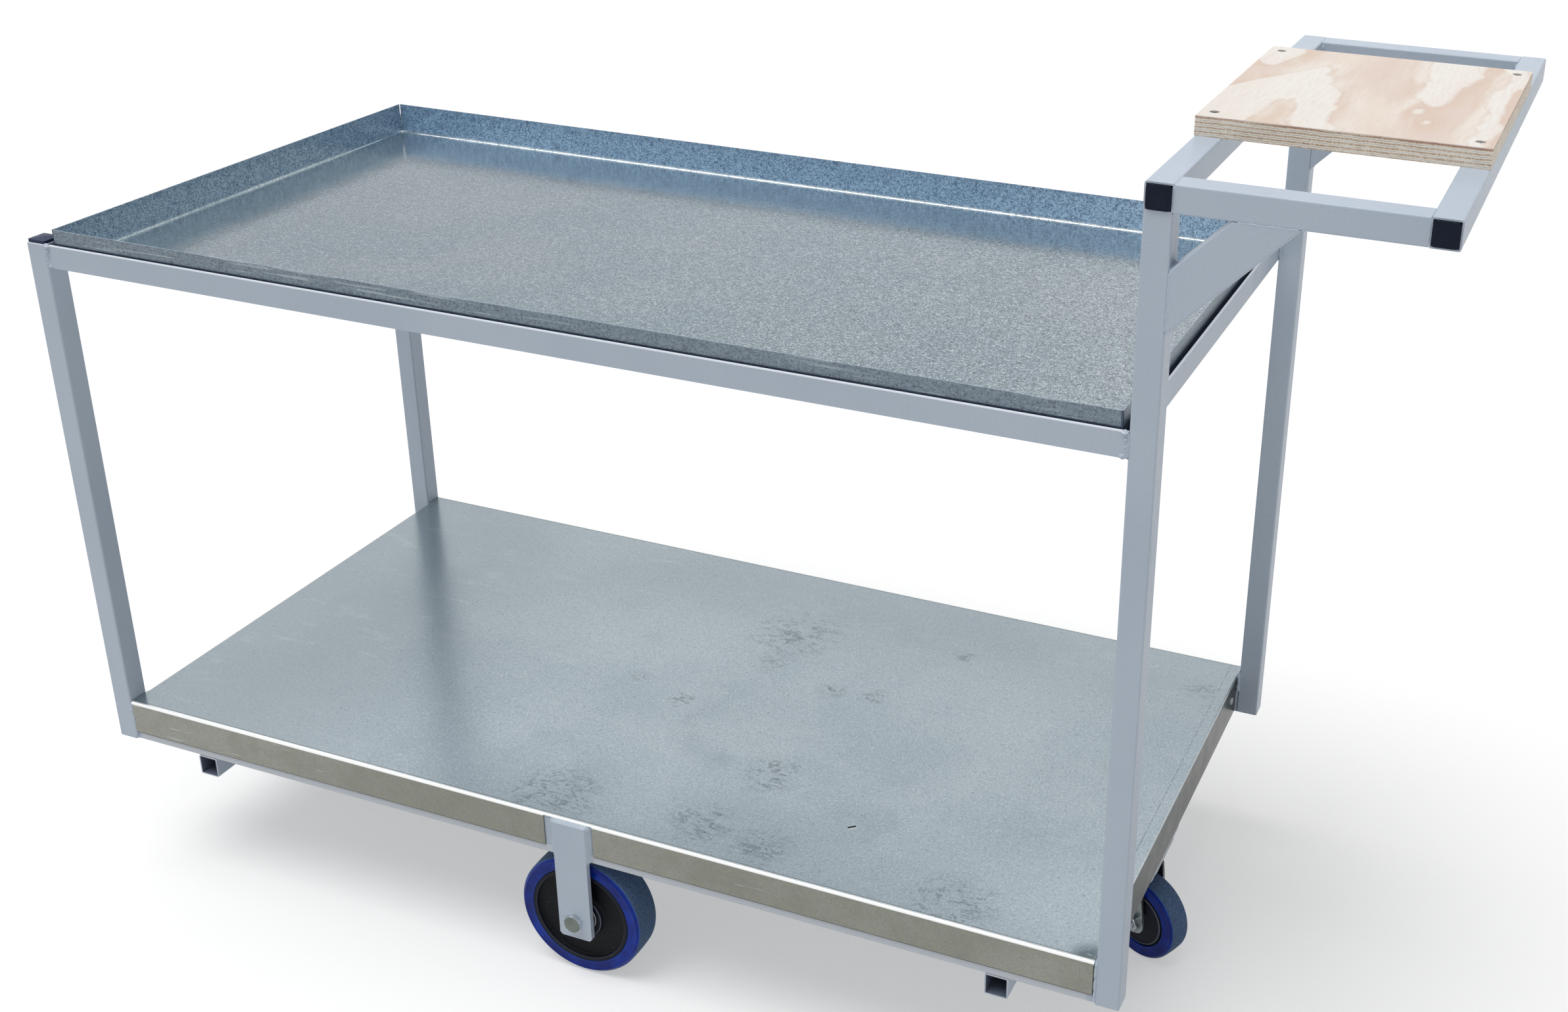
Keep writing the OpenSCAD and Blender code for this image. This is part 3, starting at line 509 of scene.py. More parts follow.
# the bolts' zinc is painted lighter, as painted highlight
boltZincLook = {**plateZincLook, "bright": (222, 229, 234), "dull": (176, 184, 186)}
bearingZincLook = {**forkZincLook, "bright": (206, 212, 218), "dull": (160, 166, 172), "roughness": 0.22}


def makeZinc(name, look):
    f = Finish(name)
    at = f.place()
    x, y, z = f.split(at)
    cloud = f.noise(at, 55, 4, 0.6)
    grain = f.noise(at, 700, 2)
    scratch = f.ramp(f.noise(f.place(turn=(0.3, 0.8, 0.2), scale=(0.06, 1, 1)), 500, 2), 0.64, 0.72)
    # painted shade on the bolts' outer faces and on the upper forks
    colour = f.coats(look, "bright", (f.ramp(cloud, 0.35, 0.68), "dull"), (scratch * 0.4, "scratch"),
                     ((abs(y) > look["faceY"]) * (0.9 + f.ramp(cloud, 0.6, 0.4) * 0.1), "face"),
                     (f.ramp(z, *look["forkShadeZ"]) * 0.85, "forkShade"))
    rough = look["roughness"] + f.ramp(cloud, 0.3, 0.7) * 0.14
    return f.principled(colour, rough, f.bump(grain + cloud, 0.12, 0.0005), metallic=0.9)


# Moulded black plastic of the square caps; those on the posts, up to upperZ, face up and are painted lighter,
# as painted light from above
capLook = {"colour": (8, 13, 27), "worn": (32, 40, 62), "upper": (52, 62, 96), "upperZ": 0.85,
           "sheen": (0.62, 0.78, 1, 1)}


def makeCapPlastic(look):
    f = Finish("capPlastic")
    at = f.place()
    z = f.split(at)[2]
    grain = f.noise(at, 900, 2)
    dust = f.ramp(f.noise(at, 160, 4, 0.6), 0.48, 0.72)
    # painted light on the post caps, which face up
    colour = f.coats(look, "colour", (dust * 0.35, "worn"), ((z < look["upperZ"]) * 0.55, "upper"))
    return f.principled(colour, 0.42 + dust * 0.2, f.bump(grain, 0.18, 0.0004), specularIORLevel=0.22,
                        specularTint=look["sheen"])


# Nylon wheel centres, near black with a dry speckle
nylonLook = {"deep": (9, 11, 16), "raised": (27, 31, 41), "dust": (84, 92, 102), "highlightRings": (120, 130, 142)}


def makeNylon(look):
    # the attribute is 0 in the hollows, painted dark as painted shade, 1 on raised faces and more on beads at
    # the edges, which get a painted highlight
    f = Finish("wheelNylon")
    at = f.place()
    grain = f.noise(at, 900, 3, 0.6)
    dust = f.ramp(f.noise(at, 420, 3, 0.7), 0.52, 0.68)
    wipe = f.ramp(f.noise(at, 34, 3), 0.5, 0.7)
    face = f.attribute("raised")
    colour = f.coats(look, "deep", (face, "raised"), (dust * (0.12 + wipe * 0.26), "dust"),
                     (f.ramp(face, 1.1, 1.35) * 0.7, "highlightRings"))
    rough = 0.5 + dust * 0.2 - face * 0.06
    return f.principled(colour, rough, f.bump(grain, 0.16, 0.0004), specularIORLevel=0.12)


# Elastic blue rubber: clean sides, and a tread that is scuffed grey
rubberLook = {
    "side": (0, 28, 114), "glow": (8, 50, 156), "line": (60, 112, 204),
    "tread": (64, 86, 118), "treadPale": (92, 116, 148), "treadCloud": (84, 102, 122),
    "nick": (160, 172, 184),
}


def makeRubber(look):
    # the attribute is 1 on the tread, 0 on the sides and -1 on the bead at the inner edge
    f = Finish("blueRubber")
    at = f.place()
    grain = f.noise(at, 620, 3, 0.65)
    cloud = f.noise(at, 38, 4, 0.6)
    nick = f.ramp(f.cells(at, 210), 0.12, 0.05)
    tread = f.attribute("tread")
    worn = f.ramp(tread + (cloud - 0.5) * 0.2, 0.3, 0.7)
    sideColour = f.coats(look, "side", (f.ramp(cloud, 0.35, 0.7), "glow"))
    treadColour = f.coats(look, "tread", (f.ramp(grain, 0.38, 0.68), "treadPale"),
                          (f.ramp(cloud, 0.5, 0.75) * 0.4, "treadCloud"))
    # painted highlight lines at the shoulder and the inner edge
    line = f.ramp(tread, -0.25, -0.75) * 0.35 + f.ramp(tread, 0.04, 0.2) * f.ramp(tread, 0.5, 0.3)
    colour = f.coats(look, sideColour, (worn, treadColour), (line * 0.6, "line"), (nick * worn * 0.5, "nick"))
    rough = 0.34 + worn * 0.34 + f.ramp(grain, 0.3, 0.7) * 0.08
    return f.principled(colour, rough, f.bump(grain, 0.08, 0.0008), specularIORLevel=0.2)


# Plywood of the shelf: flame figure of a rotary-cut face, and nine plies in its edge
plywoodLook = {
    "cream": (238, 234, 228), "peach": (232, 219, 208),
    "pink": (224, 207, 196), "vein": (200, 174, 152),
    "tan": (210, 182, 158), "fibre": (214, 194, 178),
    "pore": (184, 158, 138),
    "plyPale": (255, 250, 239), "plyWarm": (246, 228, 207),
    "endGrain": (176, 150, 122), "torn": (196, 170, 144),
    "glue": (126, 88, 62),
    "red": (164, 92, 66),      # a patchy line along the upper edge
    "top": 1.006, "bottom": 0.988,
    "plies": 9,
    "roughness": 0.62,
    "grainTurn": (0, 0, 0.10),
    # pale flames: x and y of the tip, 1 or -1 for towards +Y or -Y, half width = k * length ^ p, lean
    "flames": [(0.4965, 0.075, 1, 0.0425, 0.29, 0.0), (0.548, 0.083, -1, 0.345, 0.90, -0.15),
               (0.661, -0.040, 1, 0.0520, 0.46, 0.03), (0.719, -0.400, 1, 0.0095, 0.20, 0.0)],
    "islands": [(0.541, -0.050, -1, 0.060, 0.52, 0.0)],      # tan flames inside the pale ones
    "spots": [(0.669, -0.088, 0.0026), (0.6555, -0.053, 0.0040)],
}


def makePlywood(look):
    f = Finish("plywood")
    at = f.place()
    x, y, z = f.split(at)
    wander = (f.noise(f.place(scale=(1, 0.3, 1)), 55, 5, 0.72) - 0.5) * 0.016
    wander = wander + (f.noise(f.place(scale=(1, 0.7, 1)), 19, 2) - 0.5) * 0.034

    def flame(tipX, tipY, way, k, power, lean):
        # above 0 within the flame, and about the distance to its edge in metres
        beyond = (y - tipY + wander * 2) * way
        length = beyond | 0.00001
        offLine = abs(x - tipX - length * lean + wander)
        return (length ** power * k - offLine) & beyond

    pale, island = [reduce(Value.__or__, [flame(*shape) for shape in look[name]])
                    for name in ("flames", "islands")]
    for spotX, spotY, size in look["spots"]:
        pale = pale | size - ((x - spotX + wander * 0.5) ** 2 + ((y - spotY) * 0.45) ** 2) ** 0.5
    pale = (pale & island * -1) + (f.noise(at, 260, 3, 0.6) - 0.5) * 0.005
    fibre = f.noise(f.place(look["grainTurn"], (1, 0.05, 1)), 700, 3, 0.6)
    pore = f.ramp(f.noise(f.place(look["grainTurn"], (1, 0.1, 1)), 420, 2), 0.62, 0.72)
    band = f.noise(f.place(scale=(1, 0.16, 1)), 24, 3, 0.5, 0.5)      # darker growth along the grain
    figure = f.ramp(pale, -0.0034, 0.003)
    halo = f.ramp(pale, -0.03, -0.004)
    face = f.coats(
        look, "peach",
        (f.ramp(band, 0.4, 0.62), "pink"),
        (halo * f.ramp(band, 0.58, 0.45) * 0.45, "cream"),
        (f.ramp(island, -0.002, 0.016) * 0.5, "tan"),
        (f.ramp(pale, -0.022, -0.005) * (1 - figure) * f.ramp(band, 0.44, 0.58) * 0.3, "tan"),
        (f.ramp(pale, -0.005, -0.0008) * (1 - figure) * 0.3, "vein"),
        (figure * (0.8 + f.ramp(band, 0.55, 0.4) * 0.2), "cream"),
        (f.ramp(fibre, 0.42, 0.66) * 0.22, "fibre"),
        (pore * 0.14, "pore"))
    wobble = f.noise(f.place(scale=(1, 1, 0.6)), 30, 5, 0.72) - 0.5
    ply = (z - look["bottom"]) / (look["top"] - look["bottom"]) * look["plies"] + wobble * 1.3
    phase = ply.fraction()
    cross = f.ramp(abs((ply * 0.5).fraction() - 0.5), 0.22, 0.28)     # every other ply shows its end grain
    glued = 0.25 + f.ramp(f.noise(at, 38, 3, 0.6), 0.38, 0.58) * 0.75
    endGrain = f.noise(f.place(scale=(1, 1, 0.5)), 620, 4, 0.75)
    torn = f.ramp(f.noise(f.place(scale=(0.6, 0.6, 1)), 260, 3, 0.7), 0.55, 0.68)
    red = f.ramp(abs(z - look["top"] + 0.0012 + wobble * 0.002), 0.0009, 0.0004)
    layers = f.coats(
        look, "plyPale",
        (cross, "plyWarm"),
        (f.ramp(endGrain, 0.45, 0.62) * cross * 0.75, "endGrain"),
        (torn * 0.3, "torn"),
        (f.ramp(abs(phase - 0.5), 0.36, 0.46) * glued * 0.85, "glue"),
        (red * f.ramp(f.noise(at, 12, 2), 0.35, 0.6) * 0.75, "red"))
    isFace = (z > look["top"] - 0.00015) | (z < look["bottom"] + 0.00015)
    height = fibre * 0.3 - pore * 0.5 + (1 - isFace) * (phase * 0.8 + endGrain)
    bump = f.bump(height, 0.22, 0.0005)
    return f.principled(f.mix(isFace, layers, face), look["roughness"], bump, specularIORLevel=0.3)


# Studio: a pale floor, a soft lamp from above and a white surround
studio = {
    "surround": 0.38,      # light that the white surround gives
    "lamp": 2.1,
    "lampTurn": (-0.22, -0.16, 0.96),     # towards the lamp
    "lampSpread": 44,      # degrees
    "floor": 0.72,         # how much light the floor throws back up
    "floorSeen": 0.62,     # how pale it looks
    "floorLift": 0.41,     # light added to that, which softens the shadow
    "floorReach": 30,      # metres from the middle to each side
}


def addStudio(look):
    f = Finish("surround", bpy.data.worlds)
    level = f.lightRays() * (1 - look["surround"]) + look["surround"]
    white = f.add("ShaderNodeBackground", {}, {"Color": (1, 1, 1, 1), "Strength": level})
    scene.world = f.show(white, "ShaderNodeOutputWorld")

    lamp = bpy.data.objects.new("lamp", bpy.data.lights.new("lamp", "SUN"))
    lamp.data.energy = look["lamp"]
    lamp.data.angle = math.radians(look["lampSpread"])
    lamp.rotation_euler = Vector(look["lampTurn"]).to_track_quat("Z", "Y").to_euler()
    scene.collection.objects.link(lamp)

    f = Finish("floor")
    grain = f.noise(f.place(), 900, 2)
    shown = f.lightRays()
    level, seen, lift = look["floor"], look["floorSeen"], look["floorLift"]
    floorMaterial = f.principled(
        f.mix(shown, (level, level, level, 1), (seen, seen, seen, 1)), 0.9, f.bump(grain, 0.02, 0.0005),
        emissionColor=f.mix(shown, (0, 0, 0, 1), (lift, lift, lift, 1)), emissionStrength=1,
        specularIORLevel=0)
    side = np.array([(-1, -1), (1, -1), (1, 1), (-1, 1)]) * look["floorReach"]
    mesh = bpy.data.meshes.new("floor")
    mesh.from_pydata([(x, y, 0) for x, y in side.tolist()], [], [(0, 1, 2, 3)])
    floor = bpy.data.objects.new("floor", mesh)
    floor.data.materials.append(floorMaterial)
    scene.collection.objects.link(floor)
    scene.view_settings.view_transform = "Standard"


# Meshes: a surface is a grid of points, rows along its profile and columns round or across it
def gridFaces(rows, cols, wrapRows, start):
    # every face joins a point with its neighbours in the next row and the next column; columns are closed
    row, col = np.meshgrid(np.arange(rows if wrapRows else rows - 1), np.arange(cols), indexing="ij")
    nextRow, nextCol = (row + 1) % rows, (col + 1) % cols
    here, beyond = row * cols, nextRow * cols
    return np.stack([here + col, here + nextCol, beyond + nextCol, beyond + col], -1).reshape(-1, 4) + start


def fanFaces(cols, ring, pole):
    # every face joins two neighbours on a closed ring, whose points are numbered from ring on, with the pole
    col = np.arange(cols)
    return np.stack([ring + col, ring + (col + 1) % cols, np.full(cols, pole)], -1)


def addPiece(name, surfaces, material, body, replaced=(), marks=None, sharp=32):
    # surfaces is a list of (points, wrapRows, mark): points is rows x columns x 3 in mm, its columns closed;
    # open rows end in a fan to the middle of the last ring; mark is a value for each row, which the
    # attribute called marks keeps; edges beyond sharp degrees stay sharp
    points, faces, values, start = [], [], [], 0
    for grid, wrapRows, *mark in surfaces:
        rows, cols = grid.shape[:2]
        points.append(grid.reshape(-1, 3))
        faces += gridFaces(rows, cols, wrapRows, start).tolist()
        mark = mark[0][:, None] if mark else np.zeros((rows, 1))
        values.append(np.broadcast_to(mark, (rows, cols)).reshape(-1))
        start += rows * cols
        if not wrapRows:
            points.append(np.stack([grid[0].mean(0), grid[-1].mean(0)]))
            faces += fanFaces(cols, start - rows * cols, start).tolist()
            faces += fanFaces(cols, start - cols, start + 1).tolist()
            values.append(np.array([values[-1][0], values[-1][-1]]))
            start += 2
    mesh = bpy.data.meshes.new(name)
    mesh.from_pydata((np.concatenate(points) * mm).tolist(), [], faces)
    solid = bmesh.new()
    solid.from_mesh(mesh)
    bmesh.ops.recalc_face_normals(solid, faces=solid.faces)
    solid.to_mesh(mesh)
    solid.free()
    if marks:
        mesh.attributes.new(marks, "FLOAT", "POINT").data.foreach_set("value", np.concatenate(values))
    mesh.shade_smooth()
    mesh.set_sharp_from_angle(angle=math.radians(sharp))
    mesh.materials.append(material)
    piece = bpy.data.objects.new(name, mesh)
    scene.collection.objects.link(piece)
    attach(piece, body)
    if replaced:
        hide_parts(*replaced)


def rounded(corners, steps=6, closed=False):
    # a profile through (x, y, r) corners, each rounded over the length r by the curve
    # (1 - t)^2 * start + 2t(1 - t) * corner + t^2 * end
    corners = np.array(corners, float)
    place, reach = corners[:, :2], corners[:, 2]
    toPrev = np.roll(place, 1, 0) - place
    toNext = np.roll(place, -1, 0) - place
    toPrev /= np.maximum(np.linalg.norm(toPrev, axis=1, keepdims=True), 1e-9)
    toNext /= np.maximum(np.linalg.norm(toNext, axis=1, keepdims=True), 1e-9)
    if not closed:
        reach = np.where(np.arange(len(reach)) % (len(reach) - 1) == 0, 0, reach)
    t = np.linspace(0, 1, steps)[None, :, None]
    first = (place + toPrev * reach[:, None])[:, None]
    last = (place + toNext * reach[:, None])[:, None]
    curve = (1 - t) ** 2 * first + 2 * t * (1 - t) * place[:, None] + t ** 2 * last
    points = curve.reshape(-1, 2)
    # a point that repeats the one before it is left out
    keep = np.linalg.norm(np.diff(points, axis=0, prepend=points[-1:] + 9), axis=1) > 1e-6
    return points[keep]


def mirrored(corners):
    # the closed profile of a half one, from the middle outwards on the plus side, and its mirror image
    other = [(radius, -along, reach) for radius, along, reach in reversed(corners)]
    return rounded(corners + other, closed=True)


def circle(count):
    # count equal steps round, as an array that rows of points spread over
    return np.linspace(0, 2 * np.pi, count, endpoint=False)[None, :, None]


def turned(profile, centre, axis, turns):
    # point = centre + along * axis + radius * (cos(angle) * side + sin(angle) * up)
    axis = np.array(axis, float) / np.linalg.norm(axis)
    side = np.cross((0, 0, 1.0), axis)
    side /= np.linalg.norm(side)
    up = np.cross(axis, side)
    angle = circle(turns)
    radius, along = profile[:, 0][:, None, None], profile[:, 1][:, None, None]
    return np.array(centre) + along * axis + radius * (np.cos(angle) * side + np.sin(angle) * up)


# Fixed wheels, in mm
fixedWheel = {
    "centreX": -110, "centreZ": 75, "middleY": 274.5,
    "radius": 75, "half": 20, "rubberIn": 59.5, "shoulder": 3.2,
    "rim": 4.4, "web": 15, "boss": 26.5, "bearing": 20, "bore": 12,
    "highlightRings": (24.1, 1.9),         # radius between two rings on the hub with a painted highlight, and their distance from it
    "turns": 160, "bearingTurns": 96,
}


def tyreRing(size):
    # (radius, along, rounding) from the inner edge, with a bead, up a flat flank to a narrow step below
    # the shoulder, then over the shoulder on to a slightly crowned tread
    radius, half, rubberIn, shoulder = (size[key] for key in ("radius", "half", "rubberIn", "shoulder"))
    flank, step = half - 0.4, radius - shoulder
    return mirrored([
        (rubberIn, half - 1.2, 0.5), (rubberIn + 0.9, half - 0.2, 0.4), (rubberIn + 2.0, flank, 0.6),
        (step - 2.6, flank, 0.4), (step - 1.9, half, 0.3), (step - 1.1, half, 0.3), (step, flank - 0.5, 1.0),
        (radius - 0.5, half - shoulder, shoulder * 0.57), (radius, half * 0.3, 3.0),
    ])


def addTyre(name, size, centre, axis, body, replaced):
    # its mark is 1 on the tread, 0 on the sides, with a short change over the shoulder, and -1 on the bead
    profile = tyreRing(size)
    radius, shoulder = profile[:, 0], size["shoulder"]
    mark = np.clip((radius - (size["radius"] - shoulder * 0.62)) / (shoulder * 0.45), 0, 1)
    mark = np.where(abs(radius - radius.min() - 0.7) < 0.45, -1, mark)
    addPiece(name, [(turned(profile, centre, axis, size["turns"]), True, mark)], blueRubber,
             body, [replaced], "tread")


def coreRing(size):
    # (radius, along, rounding) from the rim inwards: rim, sunken web, hub, bearing seat and bore
    web, boss, seat, half = size["web"], size["boss"], size["bearing"], size["half"] - 0.2
    outer = size["rubberIn"] - 0.05
    rimIn = outer - size["rim"]
    return mirrored([
        (outer, half - 0.6, 0.3), (outer - 0.6, half, 0.3), (rimIn + 0.5, half, 0.3),
        (rimIn, half - 0.6, 0.3), (rimIn - 0.8, web + 1.2, 0.6), (rimIn - 2.2, web, 0.8),
        (boss + 2.4, web - 0.4, 0.8), (boss + 1, web + 0.8, 0.5), (boss, half - 0.6, 0.4),
        (boss - 0.8, half, 0.4), (seat + 0.9, half, 0.3), (seat + 0.05, half - 0.7, 0.3),
        (seat + 0.05, 8, 0.1), (size["bore"], 7.9, 0.1),
    ])


def bearingRing(size, side):
    # outer ring, sunk seal and inner ring of one ball bearing, pressed into the wheel centre
    face = size["half"] - 0.35
    ring = [
        (19.95, 8.1, 0.2), (19.95, face - 0.3, 0.3), (19.6, face, 0.2), (17.7, face, 0.2),
        (17.4, face - 0.9, 0.15), (13.4, face - 0.9, 0.15), (13.1, face, 0.2), (10.5, face, 0.2),
        (10.1, face - 0.4, 0.2), (10.1, 8.1, 0.2),
    ]
    return rounded([(radius, side * along, reach) for radius, along, reach in ring], closed=True)


def addFixedWheel(place, side, size):
    centre = (size["centreX"], side * size["middleY"], size["centreZ"])
    axis, body = (0, 1, 0), "wheel_" + place
    addTyre("wheelTyre_" + place, size, centre, axis, body, "tyre_" + place)
    core = coreRing(size)
    radius, along, rimIn = core[:, 0], abs(core[:, 1]), size["rubberIn"] - size["rim"]
    raised = np.clip((along - size["web"] - 2) / 2, 0, 1)
    raised = np.where((abs(radius - rimIn - 0.3) < 0.45) & (along > size["half"] - 1), 1.18, raised)
    raised = np.where((radius > rimIn) & (raised < 1.1), 0.6, raised)      # the rim is duller than the hub
    # painted highlight on two rings of the hub
    middle, apart = size["highlightRings"]
    raised = np.where(abs(abs(radius - middle) - apart) < 0.45, raised * 1.3, raised)
    core = turned(core, centre, axis, size["turns"])
    addPiece("wheelCentre_" + place, [(core, True, raised)], wheelNylon,
             body, ["core_" + place], "raised")
    rings = [(turned(bearingRing(size, end), centre, axis, size["bearingTurns"]), True) for end in (-1, 1)]
    addPiece("wheelBearings_" + place, rings, bearingSteel, body_of(nodes["bearings_" + place])[0],
             ["bearings_" + place])


# Castor wheels, in mm, and their turn in degrees
castorWheel = {
    "radius": 50, "half": 15, "rubberIn": 34.0, "shoulder": 2.6,
    "cover": 31.5, "hub": 14, "hubHalf": 17.7, "bore": 5.05, "turns": 140,
    "right": {"centre": (456.964, -14.470, 50), "turn": -23.7},
    "left": {"centre": (-615.395, -9.923, 50), "turn": -16},
}


def castorCoreRing(size):
    # (radius, along, rounding) from the rim inwards: a groove beside the rubber, painted dark as painted
    # shade, a raised cover with a painted highlight on the bead at its edge, and the hub
    half, cover, hub, hubHalf = (size[key] for key in ("half", "cover", "hub", "hubHalf"))
    return mirrored([
        (size["rubberIn"] - 0.05, half - 2.2, 0.4), (cover + 1.2, half - 2.6, 0.6),
        (cover + 0.3, half - 1.4, 0.4), (cover - 0.1, half - 0.1, 0.4), (cover - 1.3, half, 0.5),
        (cover - 2.2, half - 0.5, 0.5), (cover - 3.4, half - 0.7, 0.6), (hub + 2.2, half - 0.2, 1),
        (hub + 0.7, half + 0.4, 0.6), (hub, hubHalf - 0.6, 0.5), (hub - 1, hubHalf, 0.5),
        (size["bore"], hubHalf, 0.2),
    ])


def addCastorWheel(place, size):
    centre, turn = size[place]["centre"], math.radians(size[place]["turn"])
    axis, body = (-math.sin(turn), math.cos(turn), 0), "castor_wheel_" + place
    addTyre("castorTyre_" + place, size, centre, axis, body, "castor_tyre_" + place)
    core = castorCoreRing(size)
    # painted shade in the groove, painted highlight on the cover's bead
    raised = np.where(core[:, 0] < size["cover"] + 0.2, 1.0, 0)
    raised = np.where(abs(core[:, 0] - size["cover"] + 0.6) < 0.7, 1.5, raised)
    core = turned(core, centre, axis, size["turns"])
    addPiece("castorCentre_" + place, [(core, True, raised)], wheelNylon,
             body, ["castor_core_" + place], "raised")


# Square plastic caps: a low pyramid on a rounded square, in mm
capSize = {
    "post": {"side": 22.8, "square": 12, "wall": 3.2, "bevel": 0.3, "peak": 4.9, "turns": 96,
             "x": (-719.5,), "y": 287.5, "z": 768, "out": (0, 0, 1)},
    "handle": {"side": 21.4, "square": 9, "wall": 1.9, "bevel": 0.6, "peak": 2.9, "turns": 96,
               "x": (493.5, 719.5), "y": 300, "z": 975.5, "out": (0, 1, 0)},
}


def squareCap(centre, out, size):
    # point = centre + scale(v) * outline(angle) + height(v) * out, where outline is a rounded square
    # |x|^p + |y|^p = half^p, and scale and height follow the profile from the wall up to the peak
    half, power, angle = size["side"] / 2, size["square"], circle(size["turns"])
    reach = half / (abs(np.cos(angle)) ** power + abs(np.sin(angle)) ** power) ** (1 / power)
    profile = rounded([(1, 0, 0), (1, size["wall"], size["bevel"] / half), (0.93, size["wall"] + 0.3, 0.02),
                       (0.02, size["peak"], 0)], 4)
    out, across = np.array(out, float), np.array((1.0, 0, 0))
    along = np.cross(out, across)
    scale, height = profile[:, 0][:, None, None], profile[:, 1][:, None, None]
    # towards the peak the outline changes from the rounded square to a true one, so that four facets show
    squared = half / np.maximum(abs(np.cos(angle)), abs(np.sin(angle)))
    reach = np.where(scale > 0.95, reach, reach * 0.35 + squared * 0.62)
    ring = reach * (np.cos(angle) * across + np.sin(angle) * along)
    return np.array(centre, float) + scale * ring + height * out, False


def addCaps(sizes):
    for kind in ("post", "handle"):
        size = sizes[kind]
        caps = [squareCap((x, side * size["y"], size["z"]), np.multiply(size["out"], (1, side, 1)), size)
                for x in size["x"] for side in (-1, 1)]
        addPiece(kind + "Caps", caps, capPlastic, "frame", [kind + "_caps"], sharp=8)


# Weld beads in mm: a ripple every pitch, sunk into the corner that they fill
weldSize = {"pitch": 2.1, "ripple": 0.10, "step": 0.55, "around": 12, "sharp": 60}


def bead(start, end, radius, seed):
    # point = start + s * run + r(s) * (cos(a) * side + sin(a) * up), with
    # r(s) = radius * (1 + ripple * saw(s / pitch) + slow swell), shrinking to nothing at both ends
    start, end = np.array(start, float), np.array(end, float)
    length = np.linalg.norm(end - start)
    run = (end - start) / length
    side = np.cross(run, (0.31, 0.52, 0.79))
    side /= np.linalg.norm(side)
    up = np.cross(run, side)
    s = np.linspace(0, length, max(12, int(length / weldSize["step"])))
    saw = 1 - 2 * ((s / weldSize["pitch"] + 0.3 * np.sin(s * 0.9 + seed)) % 1)
    swell = 0.12 * np.sin(s * 0.37 + seed * 1.7) + 0.08 * np.sin(s * 0.83 + seed * 2.9)
    close = np.sqrt(np.clip(np.minimum(s, length - s) / (radius * 1.2), 0, 1) * 0.96 + 0.04)
    r = (radius * (1 + weldSize["ripple"] * saw + swell) * close)[:, None, None]
    angle = circle(weldSize["around"])
    drift = (0.10 * radius * np.sin(s * 0.53 + seed))[:, None, None] * up
    return start + s[:, None, None] * run + drift + r * (np.cos(angle) * side + np.sin(angle) * up), False


# The thick fillet round the upper part of each hanger, in mm
filletSize = {
    "left": -130, "right": -90, "top": 201.2, "bottom": 156, "under": 298.3,
    "wide": 6.4, "over": 3.9, "deep": 6.1, "lean": 1.6, "bulge": 1.8, "steps": 220,
}


def hangerFillet(size, side):
    # point = path(s) + u(a) * outwards(s) + v(a) * y, where path runs up, over and down the bar's edge,
    # u = wide * cos(a)^bulge and v = deep * sin(a)^bulge for a from 0 to a quarter turn, closed behind
    left, right, top, bottom = (size[key] for key in ("left", "right", "top", "bottom"))
    lean = size["lean"]
    path = rounded([(left, bottom, 0), (left, top, lean), (right, top, lean), (right, bottom, 0)], 8)
    length = np.concatenate([[0], np.cumsum(np.linalg.norm(np.diff(path, axis=0), axis=1))])
    s = np.linspace(0, length[-1], size["steps"])
    path = np.stack([np.interp(s, length, path[:, 0]), np.interp(s, length, path[:, 1])], 1)
    run = np.gradient(path, axis=0)
    run /= np.linalg.norm(run, axis=1, keepdims=True)
    outwards = np.stack([-run[:, 1], run[:, 0]], 1)
    a = np.linspace(0, np.pi / 2, 10)
    u = np.concatenate([np.cos(a) ** size["bulge"], [-0.2, -0.2]])
    v = np.concatenate([size["deep"] * np.sin(a) ** size["bulge"], [size["deep"] - 0.2, 0]])
    wide = size["wide"] + (size["over"] - size["wide"]) * abs(outwards[:, 1])
    uneven = 1 + 0.05 * np.sin(s * 0.21 + side) + 0.03 * np.sin(s * 0.9) + 0.015 * np.sin(s * 3.1)
    close = np.sqrt(np.clip(np.minimum(s, s[-1] - s) / 5, 0, 1) * 0.85 + 0.15)
    u, v = u[None, :] * (wide * uneven * close)[:, None], np.broadcast_to(v[None, :], (len(s), len(v)))
    x = path[:, :1] + u * outwards[:, :1]
    z = path[:, 1:] + u * outwards[:, 1:]
    return np.stack([x, side * (size["under"] + v), z], -1), False


